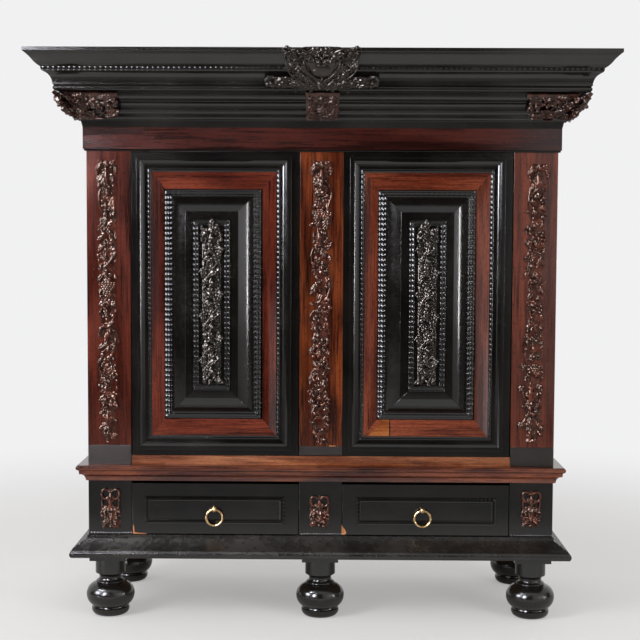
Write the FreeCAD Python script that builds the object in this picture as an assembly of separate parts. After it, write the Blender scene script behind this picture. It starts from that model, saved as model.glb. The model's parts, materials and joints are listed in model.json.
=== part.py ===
import FreeCAD, Part
import math
import os
from FreeCAD import Vector

# A Dutch cushion-door cupboard (kas) on turned feet: a base with two drawers, a cupboard with two
# doors between pilasters, and a deep cornice.  Millimetres, +Z up, the front faces -Y.
# The origin is on the floor, under the middle of the overall box.

# Overall size
CASE_WIDTH = 1580.0
CASE_DEPTH = 600.0
HEIGHT = 1912.0                        # to the top of the cornice
CORNICE_OUT = 174.0

# Levels above the floor
Z_BASE = 220.0
Z_BASE_TOP = 290.0
Z_WAIST = 477.0
Z_WAIST_TOP = 532.0
Z_RAIL_TOP = 563.0
Z_PLINTH_TOP = 597.0
Z_LINTEL = 1592.0
Z_FRIEZE = 1597.0
Z_CORNICE = 1669.0

# The crest leans on two members of the cornice, given as (out from the case, up from its underside)
CREST_FOOT = (91.0, 116.5)
CREST_HEAD = (CORNICE_OUT, 232.0)
CREST_THICK = 13.0
CREST_LEAN = math.atan2(CREST_HEAD[0] - CREST_FOOT[0], CREST_HEAD[1] - CREST_FOOT[1])

# Plan of the case: the crest is the foremost piece, and the box is centred between it and the back
CORNICE_HIGH = HEIGHT - Z_CORNICE
CREST_TOP_OUT = CREST_FOOT[0] + (CORNICE_HIGH - CREST_FOOT[1]) * math.tan(CREST_LEAN)
FRONT_OUT = CREST_TOP_OUT + CREST_THICK * math.cos(CREST_LEAN)
HALF = CASE_WIDTH / 2
FACE_Y = -(CASE_DEPTH - FRONT_OUT) / 2     # front faces of the pilasters
BACK_Y = FACE_Y + CASE_DEPTH

# Carcass boards
BOARD = 20.0
POST_WIDTH = 147.0
PILASTER_THICK = 34.0
CENTRE_HALF = 73.0
BACK_THICK = 16.0
FLOOR_THICK = 24.0
FRIEZE_OUT = 10.0
OPENING_X = HALF - POST_WIDTH          # side of the door and drawer openings
INSIDE_X = HALF - BOARD

# Feet
FOOT_X = 727.0
FOOT_FRONT_Y = FACE_Y + 65.0
FOOT_REAR_Y = FOOT_FRONT_Y + 450.0
FOOT_PLATE = 124.0
FOOT_PLATE_Z = 196.0
FOOT_DRUM_R = 51.5
FOOT_NECK_R = 38.0
FOOT_BALL_R = 82.5
FOOT_BALL_Z = 71.0
FOOT_DISC_R = 64.5
FOOT_TENON_R = 20.0

# Doors
DOOR_BOTTOM = 565.0
DOOR_TOP = 1590.0
DOOR_THICK = 28.0
DOOR_SET_BACK = 2.0
HINGE_GAP = 3.5
MEETING_GAP = 3.0
HINGE_BORDER = 17.5                    # plain border outside the mouldings
MEETING_BORDER = 25.0
TOP_BORDER = 18.0
MOULDING_WIDTH = 50.0
BAND_WIDTH_SIDE = 47.0
BAND_WIDTH_TOP = 57.0
BAND_RISE = 4.0
CUSHION_WIDTH = 102.0
CUSHION_RISE = 55.0
RIPPLE_FRAME = 21.0
PIN_R = 3.0
PIN_IN = 6.5                           # hinge axis, in from the door's edge and its face
PIN_LENGTH = 24.0
PIN_CLEARANCE = 0.07

# Drawers
DRAWER_GAP = 2.5
DRAWER_BOTTOM = 293.0
DRAWER_TOP = 467.0
DRAWER_FRONT = 22.0
DRAWER_SIDE = 12.0
DRAWER_DEPTH = 520.0
RING_R = 27.5
RING_TUBE_R = 3.6
RING_OUT = 15.0
RING_X = {"left": -360.0, "right": 347.0}
RING_HINGE_Z = 380.0
KNOB_R = 9.0
EYE_R = 5.0
NECK_R = 4.2
ROSE_R = 8.0
ROSE_THICK = 1.5
STEM_R = 3.0
STEM_CLEARANCE = 0.2
NUT_R = 7.0
NUT_THICK = 4.0

BACKWARDS = Vector(0, 1, 0)


# ---------------------------------------------------------------- building blocks

def board(x0, x1, y0, y1, z0, z1):
    """A plain board between two opposite corners."""
    return Part.makeBox(x1 - x0, y1 - y0, z1 - z0, Vector(x0, y0, z0))


def mirrored(shape):
    """The same shape on the other side of the cupboard."""
    return shape.mirror(Vector(0, 0, 0), Vector(1, 0, 0))


def outline(points, place):
    """A closed wire through profile points; a pair of points is an arc through the first of them.

    A point that the wire has already reached adds nothing.
    """
    edges = []
    here = place(*points[0])
    for step in points[1:] + points[:1]:
        if isinstance(step[0], tuple):
            middle = place(*step[0])
            there = place(*step[1])
            edges.append(Part.Arc(here, middle, there).toShape())
        else:
            there = place(*step)
            if not there.isEqual(here, 1e-6):
                edges.append(Part.LineSegment(here, there).toShape())
        here = there
    return Part.Wire(edges)


def prism(points, direction):
    """A straight prism over a polygon of 3-D points."""
    return Part.Face(Part.makePolygon(points + points[:1])).extrude(direction)


MITRE_IN = 40.0                        # how far inside the case faces a mitre cut starts
MITRE_OUT = 260.0


def front_wedge():
    """The space that the front run of a case moulding takes, cut at 45 degrees at both corners."""
    inner_x = HALF - MITRE_IN
    inner_y = FACE_Y + MITRE_IN
    outer_x = HALF + MITRE_OUT
    outer_y = FACE_Y - MITRE_OUT
    corners = [Vector(-inner_x, inner_y, 0), Vector(inner_x, inner_y, 0),
               Vector(outer_x, outer_y, 0), Vector(-outer_x, outer_y, 0)]
    return prism(corners, Vector(0, 0, HEIGHT + 50))


def front_run(profile, z):
    """A profile of (out from the case, up) points run across the front."""
    length = 2 * (HALF + MITRE_OUT)
    wire = outline(profile, lambda out, up: Vector(-length / 2, FACE_Y - out, z + up))
    return Part.Face(wire).extrude(Vector(length, 0, 0))


def left_run(profile, z):
    """The same profile run along the left side, back to the wall."""
    start = FACE_Y - MITRE_OUT
    wire = outline(profile, lambda out, up: Vector(-HALF - out, start, z + up))
    return Part.Face(wire).extrude(Vector(0, BACK_Y - start, 0))


def case_moulding(profile, z):
    """Three mitred lengths of one moulding: the front and both sides."""
    wedge = front_wedge()
    front = front_run(profile, z).common(wedge)
    left = left_run(profile, z).cut(wedge)
    return [front, left, mirrored(left)]


def mitred_frame(profile, x0, x1, z0, z1, face_y):
    """Four mitred lengths laid round a rectangle on a face; the profile is (inwards, forwards)."""
    middle = Vector((x0 + x1) / 2, face_y, (z0 + z1) / 2)
    reach = min(x1 - x0, z1 - z0) / 2
    deep = Vector(0, 200, 0)
    front = face_y - 120
    low_wire = outline(profile, lambda u, h: Vector(x0, face_y - h, z0 + u))
    low_wedge = prism([Vector(x0, front, z0), Vector(x1, front, z0),
                       Vector(x1 - reach, front, z0 + reach), Vector(x0 + reach, front, z0 + reach)], deep)
    low = Part.Face(low_wire).extrude(Vector(x1 - x0, 0, 0)).common(low_wedge)
    side_wire = outline(profile, lambda u, h: Vector(x0 + u, face_y - h, z0))
    side_wedge = prism([Vector(x0, front, z0), Vector(x0 + reach, front, z0 + reach),
                        Vector(x0 + reach, front, z1 - reach), Vector(x0, front, z1)], deep)
    side = Part.Face(side_wire).extrude(Vector(0, 0, z1 - z0)).common(side_wedge)
    return [low, low.mirror(middle, Vector(0, 0, 1)), side, side.mirror(middle, Vector(1, 0, 0))]


def flat_frame(x0, x1, z0, z1, side_width, end_width, y0, y1):
    """Four flat pieces round a rectangle, mitred corner to corner, with wider pieces at the ends."""
    deep = Vector(0, y1 - y0, 0)
    outer = [Vector(x0, y0, z0), Vector(x1, y0, z0), Vector(x1, y0, z1), Vector(x0, y0, z1)]
    inner = [Vector(x0 + side_width, y0, z0 + end_width), Vector(x1 - side_width, y0, z0 + end_width),
             Vector(x1 - side_width, y0, z1 - end_width), Vector(x0 + side_width, y0, z1 - end_width)]
    pieces = []
    for i in range(4):
        j = (i + 1) % 4
        pieces.append(prism([outer[i], outer[j], inner[j], inner[i]], deep))
    return pieces


def turned(points, x, y):
    """A solid of revolution about an upright axis; points are (radius, height)."""
    wire = outline(points, lambda r, z: Vector(x + r, y, z))
    return Part.Face(wire).revolve(Vector(x, y, 0), Vector(0, 0, 1), 360)


def upright_rod(x, y, z0, z1, radius):
    """A round rod standing on z0."""
    return Part.makeCylinder(radius, z1 - z0, Vector(x, y, z0))


os.makedirs("parts", exist_ok=True)


def save(name, solids):
    """Writes one node."""
    shape = solids if isinstance(solids, Part.Shape) else Part.makeCompound(solids)
    shape.exportStep("parts/" + name + ".step")


# ---------------------------------------------------------------- feet

def foot(x, y):
    """A turned bun foot: disc, ball, collar, neck and drum under a square plate with a tenon."""
    turning = turned([
        (0, 0), (46, 0), ((58, 5), (FOOT_DISC_R, 18)), (FOOT_DISC_R, 25), (60, 28), (59, 31),
        ((76.5, 48), (FOOT_BALL_R, FOOT_BALL_Z)), ((70.4, 100.2), (46, 112)),
        ((48.5, 115.5), (44, 119)), ((FOOT_NECK_R, 130), (43, 141)), (FOOT_DRUM_R, 146),
        (FOOT_DRUM_R, FOOT_PLATE_Z), (0, FOOT_PLATE_Z)], x, y)
    half = FOOT_PLATE / 2
    plate = board(x - half, x + half, y - half, y + half, FOOT_PLATE_Z, Z_BASE)
    tenon = upright_rod(x, y, Z_BASE, Z_BASE + FLOOR_THICK, FOOT_TENON_R)
    return turning.fuse(plate).fuse(tenon).removeSplitter()


FOOT_PLACES = {"foot_front_left": (-FOOT_X, FOOT_FRONT_Y), "foot_front_centre": (0, FOOT_FRONT_Y),
               "foot_front_right": (FOOT_X, FOOT_FRONT_Y)}
REAR_PLACES = [(-FOOT_X, FOOT_REAR_Y), (FOOT_X, FOOT_REAR_Y)]


def feet():
    for name, place in FOOT_PLACES.items():
        save(name, foot(*place))
    save("feet_rear", [foot(*place) for place in REAR_PLACES])


# ---------------------------------------------------------------- base with the drawer row

BASE_PROFILE = [(-BOARD, 0), (52, 0), ((57, 13), (49, 26)), ((25, 41), (5, 57)), (4, 70), (-BOARD, 70)]
WAIST_PROFILE = [(-BOARD, 0), (6, 0), (8, 4), ((13, 17), (27, 24)), (28, 36), (31, 38),
                 ((37, 46.5), (31, 55)), (-BOARD, 55)]


def base():
    inside_front = FACE_Y + BOARD
    inside_back = BACK_Y - FLOOR_THICK
    save("base_moulding", case_moulding(BASE_PROFILE, Z_BASE))
    bottom = board(-INSIDE_X, INSIDE_X, inside_front, BACK_Y, Z_BASE, Z_BASE + FLOOR_THICK)
    for x, y in list(FOOT_PLACES.values()) + REAR_PLACES:
        bottom = bottom.cut(upright_rod(x, y, Z_BASE, Z_BASE + FLOOR_THICK, FOOT_TENON_R + 0.2))
    save("base_board", bottom)
    floor_z = Z_WAIST_TOP - FLOOR_THICK
    save("base_back_rail", board(-INSIDE_X, INSIDE_X, inside_back, BACK_Y, Z_BASE + FLOOR_THICK, floor_z))
    end = board(-HALF, -INSIDE_X, inside_front, BACK_Y, Z_BASE_TOP, Z_WAIST)
    save("base_ends", [end, mirrored(end)])
    post = board(-HALF, -OPENING_X, FACE_Y, inside_front, Z_BASE_TOP, Z_WAIST)
    middle = board(-CENTRE_HALF, CENTRE_HALF, FACE_Y, inside_front, Z_BASE_TOP, Z_WAIST)
    save("base_posts", [post, middle, mirrored(post)])
    save("base_divider", board(-12, 12, inside_front, inside_back, Z_BASE + FLOOR_THICK, floor_z))
    save("drawer_runners", drawer_runners(inside_front, inside_back))
    save("waist_moulding", case_moulding(WAIST_PROFILE, Z_WAIST))
    save("cupboard_floor", board(-INSIDE_X, INSIDE_X, inside_front, BACK_Y, floor_z, Z_WAIST_TOP))


def drawer_runners(front, back):
    """A runner under each drawer side, with a guide beside it."""
    top = DRAWER_BOTTOM - 0.5
    outer = board(-INSIDE_X, -OPENING_X + 30, front, back, top - 18, top)
    outer_guide = board(-INSIDE_X, -OPENING_X + 1, front, back, top, top + 36)
    inner = board(-CENTRE_HALF - 30, -12, front, back, top - 18, top)
    inner_guide = board(-CENTRE_HALF - 1, -12, front, back, top, top + 36)
    pieces = [outer, outer_guide, inner, inner_guide]
    return pieces + [mirrored(piece) for piece in pieces]


# ---------------------------------------------------------------- cupboard carcass

SIDE_STILE = 90.0
SIDE_RAIL_LOW = 110.0
SIDE_PANEL_DEEP = 8.0                  # how far the panel lies behind the faces of its frame
SIDE_PANEL_THICK = 8.0
GROOVE = 10.0
SIDE_TENON = 50.0
SIDE_MOULDING = [(0, 0), (0, 6), (4, 10), ((12, 11), (16, 6)), (26, 3), (30, 0)]
SHELF_THICK = 20.0
SHELF_LEVELS = (880.0, 1230.0)
SHELF_FRONT = FACE_Y + 80.0
BACK_BOARDS = 6


def side_panel_box():
    """The sunk field of a case side: front, back, bottom and top."""
    return (FACE_Y + PILASTER_THICK + SIDE_STILE, BACK_Y - SIDE_STILE,
            Z_WAIST_TOP + SIDE_RAIL_LOW, Z_FRIEZE - SIDE_STILE)


def case_side():
    """The left side: two stiles and two tenoned rails, with a panel held in their grooves."""
    y0, y1, z0, z1 = side_panel_box()
    face = -HALF + SIDE_PANEL_DEEP
    panel = board(face, face + SIDE_PANEL_THICK, y0 - GROOVE, y1 + GROOVE, z0 - GROOVE, z1 + GROOVE)
    stiles = [board(-HALF, -INSIDE_X, FACE_Y + PILASTER_THICK, y0, Z_WAIST_TOP, Z_CORNICE),
              board(-HALF, -INSIDE_X, y1, BACK_Y, Z_WAIST_TOP, Z_CORNICE)]
    rails = []
    for low, high in ((Z_WAIST_TOP, z0), (z1, Z_CORNICE)):
        shoulder = 2 * GROOVE
        tenon = board(-HALF + BOARD / 3, -HALF + 2 * BOARD / 3, y0 - SIDE_TENON, y1 + SIDE_TENON,
                      low + shoulder, high - shoulder)
        stiles = [stile.cut(tenon) for stile in stiles]
        rails.append(board(-HALF, -INSIDE_X, y0, y1, low, high).fuse(tenon).removeSplitter())
    return [piece.cut(panel) for piece in stiles + rails] + [panel]


def side_panels():
    """A raised panel in each sunk field, inside a mitred moulding."""
    y0, y1, z0, z1 = side_panel_box()
    bed = -HALF + SIDE_PANEL_DEEP
    frame = mitred_frame(SIDE_MOULDING, y0, y1, z0, z1, 0)
    turn = FreeCAD.Placement(Vector(bed, 0, 0), FreeCAD.Rotation(Vector(0, 0, 1), -90))
    pieces = []
    for piece in frame:
        # the frame is drawn with its rectangle along X, then turned to run along -Y
        turned_piece = piece.mirror(Vector(0, 0, 0), Vector(1, 0, 0))
        turned_piece.Placement = turn.multiply(turned_piece.Placement)
        pieces.append(turned_piece)
    inset = 30.0
    field = board(bed - 2, bed, y0 + inset, y1 - inset, z0 + inset, z1 - inset)
    pieces.append(raised_panel(bed, y0 + inset, y1 - inset, z0 + inset, z1 - inset).fuse(field).removeSplitter())
    return pieces + [mirrored(piece) for piece in pieces]


def raised_panel(bed, y0, y1, z0, z1):
    """A low bevelled panel that stands out from the left side."""
    bevel = 46.0
    rise = 9.0
    low = Part.makePolygon([Vector(bed - 2, y, z) for y, z in
                            ((y0, z0), (y1, z0), (y1, z1), (y0, z1), (y0, z0))])
    high = Part.makePolygon([Vector(bed - rise, y, z) for y, z in
                             ((y0 + bevel, z0 + bevel), (y1 - bevel, z0 + bevel),
                              (y1 - bevel, z1 - bevel), (y0 + bevel, z1 - bevel), (y0 + bevel, z0 + bevel))])
    return Part.makeLoft([low, high], True, True)


def carcass():
    left = case_side()
    save("case_side_left", left)
    save("case_side_right", [mirrored(piece) for piece in left])
    save("side_panels", side_panels())
    width = 2 * INSIDE_X / BACK_BOARDS
    gap = 1.0
    boards = [board(-INSIDE_X + i * width + gap / 2, -INSIDE_X + (i + 1) * width - gap / 2,
                    BACK_Y - BACK_THICK, BACK_Y, Z_WAIST_TOP, Z_CORNICE) for i in range(BACK_BOARDS)]
    save("back_boards", boards)
    shelf_back = BACK_Y - BACK_THICK - 1
    save("shelves", [board(-INSIDE_X + 1, INSIDE_X - 1, SHELF_FRONT, shelf_back, z, z + SHELF_THICK)
                     for z in SHELF_LEVELS])
    battens = [board(-INSIDE_X, -INSIDE_X + 22, SHELF_FRONT + 10, shelf_back, z - 30, z) for z in SHELF_LEVELS]
    save("shelf_battens", battens + [mirrored(batten) for batten in battens])
    save("front_rails", front_rails())
    pilaster = board(-HALF, -OPENING_X, FACE_Y, FACE_Y + PILASTER_THICK, Z_PLINTH_TOP, Z_LINTEL)
    save("pilaster_left", pilaster)
    save("pilaster_right", mirrored(pilaster))
    plinth = board(-HALF, -OPENING_X, FACE_Y, FACE_Y + PILASTER_THICK, Z_WAIST_TOP, Z_PLINTH_TOP)
    save("pilaster_plinths", [plinth, mirrored(plinth)])
    save("hinge_pins", hinge_pins())


def front_rails():
    """The lintel and the bottom rail, each with a door stop behind it; both are bored for the hinge pins."""
    back = FACE_Y + PILASTER_THICK
    lintel = board(-HALF, HALF, FACE_Y, back, Z_LINTEL, Z_CORNICE)
    rail = board(-OPENING_X, OPENING_X, FACE_Y + 3, back, Z_WAIST_TOP, Z_RAIL_TOP)
    stop_x = OPENING_X - 40
    top_stop = board(-stop_x, stop_x, back, back + 16, Z_LINTEL - 20, Z_LINTEL + 40)
    low_stop = board(-stop_x, stop_x, back, back + 16, Z_WAIST_TOP, Z_RAIL_TOP + 18)
    for x in (-hinge_x(), hinge_x()):
        lintel = lintel.cut(upright_rod(x, hinge_y(), Z_LINTEL, Z_LINTEL + PIN_LENGTH, PIN_R))
        rail = rail.cut(upright_rod(x, hinge_y(), Z_RAIL_TOP - PIN_LENGTH, Z_RAIL_TOP, PIN_R))
    return [lintel, rail, top_stop, low_stop]


def hinge_x():
    return OPENING_X - HINGE_GAP - PIN_IN


def hinge_y():
    return FACE_Y + DOOR_SET_BACK + PIN_IN


def hinge_pins():
    """Iron pins, fixed in the lintel and the bottom rail, that the doors turn on."""
    x = hinge_x()
    y = hinge_y()
    top = upright_rod(-x, y, DOOR_TOP - PIN_LENGTH + 2, Z_LINTEL + PIN_LENGTH, PIN_R)
    low = upright_rod(-x, y, Z_RAIL_TOP - PIN_LENGTH, DOOR_BOTTOM + PIN_LENGTH - 2, PIN_R)
    return [top, low, mirrored(top), mirrored(low)]


# ---------------------------------------------------------------- frieze and cornice

CORNICE_INNER = 95.0                   # the cornice's inner faces, above and below the slope
CORNICE_SLOPE_TOP = 190.0
CORNICE_BEND = 66.0
CORNICE_PROFILE = [
    (-BOARD, 0), (10, 0), (15, 21), (17, 24), ((24, 30), (26, 40)), (27, 45), (31, 50),
    ((36, 55), (31, 60)), (32, 63), ((38, 75), (51, 82)), (53, 84), ((68, 92), (74, 108)),
    (75, 111), (85, 113), ((92, 121), (88, 130)), (93, 133), ((97, 153), (113, 171)),
    (120, 174), (124, 186), (128, 188), ((137, 194.5), (146, 204)), ((157, 217), (172, 230)),
    CREST_HEAD, (CORNICE_OUT, CORNICE_HIGH), (CORNICE_INNER, CORNICE_HIGH),
    (CORNICE_INNER, CORNICE_SLOPE_TOP), (-BOARD, CORNICE_BEND)]
BLOCK_LOW = 24.0                       # the blocks are let into the cornice between these two heights
BLOCK_HIGH = 113.0
BLOCK_IN = 4.0
BLOCK_PROFILE = [(BLOCK_IN, BLOCK_LOW), (20, BLOCK_LOW), (86, 102), (86, BLOCK_HIGH), (BLOCK_IN, BLOCK_HIGH)]
BLOCK_RECESS = [(BLOCK_IN, BLOCK_LOW), (CORNICE_OUT, BLOCK_LOW), (CORNICE_OUT, BLOCK_HIGH), (BLOCK_IN, BLOCK_HIGH)]
CORNER_BLOCK = 126.0                   # length of a corner block from the case's corner
CENTRE_BLOCK_HALF = 56.0
FRIEZE_PROFILE = [(0, 0), (FRIEZE_OUT, 0), (FRIEZE_OUT, Z_CORNICE - Z_FRIEZE), (0, Z_CORNICE - Z_FRIEZE)]
FRIEZE_BEAD = [(0, 0), (3, 0), ((7, 3), (4, 6)), (0, 6)]


def corner_blocks(profile):
    """A profile run over the places of the carved blocks: one at each front corner, one in the middle."""
    wedge = front_wedge()
    front = front_run(profile, Z_CORNICE)
    edge = HALF - CORNER_BLOCK
    far = HALF + MITRE_OUT
    centre = front.common(board(-CENTRE_BLOCK_HALF, CENTRE_BLOCK_HALF, FACE_Y - far, BACK_Y, 0, HEIGHT))
    corner_front = front.common(wedge).common(board(-far, -edge, FACE_Y - far, BACK_Y, 0, HEIGHT))
    side = left_run(profile, Z_CORNICE).cut(wedge)
    corner_side = side.common(board(-far, 0, FACE_Y - far, FACE_Y + CORNER_BLOCK, 0, HEIGHT))
    corner = corner_front.fuse(corner_side).removeSplitter()
    return [centre, corner, mirrored(corner)]


def cornice():
    """The mitred cornice with the recesses for its blocks."""
    front, left, right = case_moulding(CORNICE_PROFILE, Z_CORNICE)
    centre_recess, left_recess, right_recess = corner_blocks(BLOCK_RECESS)
    front = front.cut(centre_recess).cut(left_recess).cut(right_recess)
    return [front, left.cut(left_recess), right.cut(right_recess)]


def both_halves(half):
    """A closed outline of (across, up) points from its right half; a pair of points is an arc."""
    there = [half[0]]
    for step in half[1:]:
        there.append(step[1] if isinstance(step[0], tuple) else step)
    back = []
    for i in range(len(half) - 1, 0, -1):
        across, up = there[i - 1]
        if isinstance(half[i][0], tuple):
            middle = half[i][0]
            back.append(((-middle[0], middle[1]), (-across, up)))
        else:
            back.append((-across, up))
    return half + [(-there[-1][0], there[-1][1])] + back


CREST_HALF = [(0, 5), (58, 5), ((84, 13), (97, 40)), (101, 62), ((111, 74), (113, 90)),
              ((109, 103), (115, 116)), ((126, 129), (130, 145)), ((125, 157), (112, 160)),
              ((94, 157), (82, 149)), ((62, 158), (40, 160)), (24, 161)]
CREST_ARM = [(50, 8), (150, 18), (156, 38), (150, 52), (124, 46), (96, 58), (50, 58)]
CREST_SHIELD = [(0, 50), ((31, 70), (42, 98)), ((38, 110), (24, 113)), ((11, 112), (0, 118))]
SHIELD_RISE = 5.0
ROSETTE_PLACE = (165.0, 37.0)
ROSETTE_R = 22.0
CREST_KNOB_R = 5.5
CREST_KNOB_PLACE = (112.0, -4.0, 163.0)


def crest_ornament():
    """The applied crest: a cartouche with a shield and two knobs, an arm and a rosette on each side.

    It is drawn upright on its foot and then leaned back on the cornice.
    """
    low = 112.0
    out = CREST_FOOT[0] - (CREST_FOOT[1] - low) * math.tan(CREST_LEAN)

    def plate(points, y, thick):
        wire = outline(points, lambda across, up: Vector(across, y, up))
        return Part.Face(wire).extrude(Vector(0, -thick, 0))
    shape = plate(both_halves(CREST_HALF), 0, CREST_THICK)
    shape = shape.fuse(plate(both_halves(CREST_SHIELD), -CREST_THICK + 1, SHIELD_RISE + 1))
    arm = plate(CREST_ARM, 0, CREST_THICK - 3)
    across, up = ROSETTE_PLACE
    rosette = Part.makeCylinder(ROSETTE_R, CREST_THICK, Vector(across, 0, up), Vector(0, -1, 0))
    knob = Part.makeSphere(CREST_KNOB_R, Vector(*CREST_KNOB_PLACE))
    for piece in (arm, rosette, knob):
        shape = shape.fuse(piece).fuse(mirrored(piece))
    shape = shape.removeSplitter()
    shape.Placement = FreeCAD.Placement(Vector(0, FACE_Y - out, Z_CORNICE + low),
                                        FreeCAD.Rotation(Vector(1, 0, 0), math.degrees(CREST_LEAN)))
    return shape


def frieze_and_cornice():
    save("frieze", case_moulding(FRIEZE_PROFILE, Z_FRIEZE))
    save("frieze_mouldings", case_moulding(FRIEZE_BEAD, Z_FRIEZE - 6))
    save("cornice", cornice())
    save("cornice_blocks", corner_blocks(BLOCK_PROFILE))
    save("crest_ornament", crest_ornament())
    save("top_boards", top_boards())


def top_boards():
    """The top of the case, the dust board in the cornice, and the board that closes the cornice's back."""
    case_top = board(-INSIDE_X, INSIDE_X, FACE_Y + BOARD, BACK_Y, Z_CORNICE, Z_CORNICE + BOARD)
    dust_x = HALF + CORNICE_INNER
    dust_z = HEIGHT - 22
    dust_board = board(-dust_x, dust_x, FACE_Y - CORNICE_INNER, BACK_Y, dust_z, dust_z + 16)
    half = [(INSIDE_X, Z_CORNICE + BOARD), (INSIDE_X, Z_CORNICE + CORNICE_BEND),
            (dust_x, Z_CORNICE + CORNICE_SLOPE_TOP), (dust_x, dust_z)]
    corners = half + [(-x, z) for x, z in reversed(half)]
    back = prism([Vector(x, BACK_Y - BACK_THICK, z) for x, z in corners], Vector(0, BACK_THICK, 0))
    return [case_top, dust_board, back]


# ---------------------------------------------------------------- doors

DOOR_MOULDING = [(0, 0), (0, 8), ((4, 14), (10, 15)), (12, 15), ((19, 8), (30, 6)), (31, 3),
                 (34, 3), ((41, 8.5), (48, 4)), (50, 4), (50, 0)]
CUSHION_PROFILE = [(0, -12), (0, 8), ((9, 15), (20, 14)), (22, 14), (26, 16),
                   ((60, 42), (CUSHION_WIDTH, CUSHION_RISE)), (CUSHION_WIDTH, -12)]
FIELD_PROFILE = [(0, 0), (0, 4), ((6, 8), (12, 5)), (RIPPLE_FRAME, 2), (RIPPLE_FRAME, 0)]
TENON = 45.0

# Carved foliage: half widths, how far it stands out, and the number of knots of leaves
DROP_HALF = {"left": 37.0, "centre": 38.0, "right": 40.0}
DROP_RISE = 20.0
LONG_DROP_KNOTS = 9
FIELD_CARVING_HALF = 36.0
FIELD_CARVING_RISE = 11.0
POST_DROPS = ((-714.0, 312.0, 449.0, 36.0), (-3.0, 320.0, 429.0, 36.0), (716.0, 325.0, 449.0, 38.0))
POST_DROP_RISE = 12.0
POST_DROP_KNOTS = 2


def door_frame(x0, x1, side_width, meeting_extra):
    """Stiles and rails with tenons; the meeting stile may run on behind the centre pilaster."""
    face = FACE_Y + DOOR_SET_BACK
    back = face + DOOR_THICK
    end_width = TOP_BORDER + MOULDING_WIDTH + BAND_WIDTH_TOP
    hinge_stile = board(x0, x0 + side_width[0], face, back, DOOR_BOTTOM, DOOR_TOP)
    meeting_stile = board(x1 - side_width[1], x1, face, back, DOOR_BOTTOM, DOOR_TOP)
    if meeting_extra:
        rebate = face - 2 + BOARD
        meeting_stile = meeting_stile.fuse(board(x1, x1 + meeting_extra, rebate, back, DOOR_BOTTOM, DOOR_TOP))
        meeting_stile = meeting_stile.removeSplitter()
    rails = []
    for z0 in (DOOR_BOTTOM, DOOR_TOP - end_width):
        rail = board(x0 + side_width[0], x1 - side_width[1], face, back, z0, z0 + end_width)
        tenon_y = face + DOOR_THICK / 3
        tenon = board(x0 + side_width[0] - TENON, x1 - side_width[1] + TENON,
                      tenon_y, tenon_y + DOOR_THICK / 3, z0 + 25, z0 + end_width - 15)
        hinge_stile = hinge_stile.cut(tenon)
        meeting_stile = meeting_stile.cut(tenon)
        rails.append(rail.fuse(tenon).removeSplitter())
    pin = upright_rod(-hinge_x(), hinge_y(), 0, HEIGHT, PIN_R + PIN_CLEARANCE)
    bores = pin.common(board(-HALF, 0, FACE_Y, BACK_Y, DOOR_BOTTOM, DOOR_BOTTOM + PIN_LENGTH))
    bores = bores.fuse(pin.common(board(-HALF, 0, FACE_Y, BACK_Y, DOOR_TOP - PIN_LENGTH, DOOR_TOP)))
    return [hinge_stile.cut(bores), meeting_stile] + rails


def door_field(x0, x1, z0, z1, face):
    """The back panel, the raised core glued to it, and the small frame on the core."""
    back = face + DOOR_THICK - 4
    panel = board(x0, x1, face + 12, back, z0, z1)
    core = board(x0 + CUSHION_WIDTH, x1 - CUSHION_WIDTH, face - CUSHION_RISE, face + 12,
                 z0 + CUSHION_WIDTH, z1 - CUSHION_WIDTH)
    frame = mitred_frame(FIELD_PROFILE, x0 + CUSHION_WIDTH, x1 - CUSHION_WIDTH,
                         z0 + CUSHION_WIDTH, z1 - CUSHION_WIDTH, face - CUSHION_RISE)
    return [panel, core] + frame


def foliage(x, z0, z1, half_width, y_back, rise, knots):
    """Carved foliage in the plain: a strip whose edges swell and pinch round each knot of leaves."""
    def edge(side):
        points = []
        count = 4 * knots
        for i in range(count + 1):
            z = z0 + (z1 - z0) * i / count
            swell = 0.72 - 0.28 * math.cos(2 * math.pi * i / 4 + math.pi / 4)
            taper = 0.55 + 0.45 * math.sin(math.pi * min(1.0, 0.12 + 0.95 * i / count))
            points.append(Vector(x + side * half_width * swell * taper, y_back, z))
        return points
    loop = edge(1) + edge(-1)[::-1]
    body = Part.Face(Part.makePolygon(loop + loop[:1])).extrude(Vector(0, -rise * 0.6, 0))
    ridge_half = half_width * 0.35
    ridge = prism([Vector(x - ridge_half, y_back - rise * 0.6, z0 + 10), Vector(x, y_back - rise, z0 + 10),
                   Vector(x + ridge_half, y_back - rise * 0.6, z0 + 10)], Vector(0, 0, z1 - z0 - 20))
    return body.fuse(ridge).removeSplitter()


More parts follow.
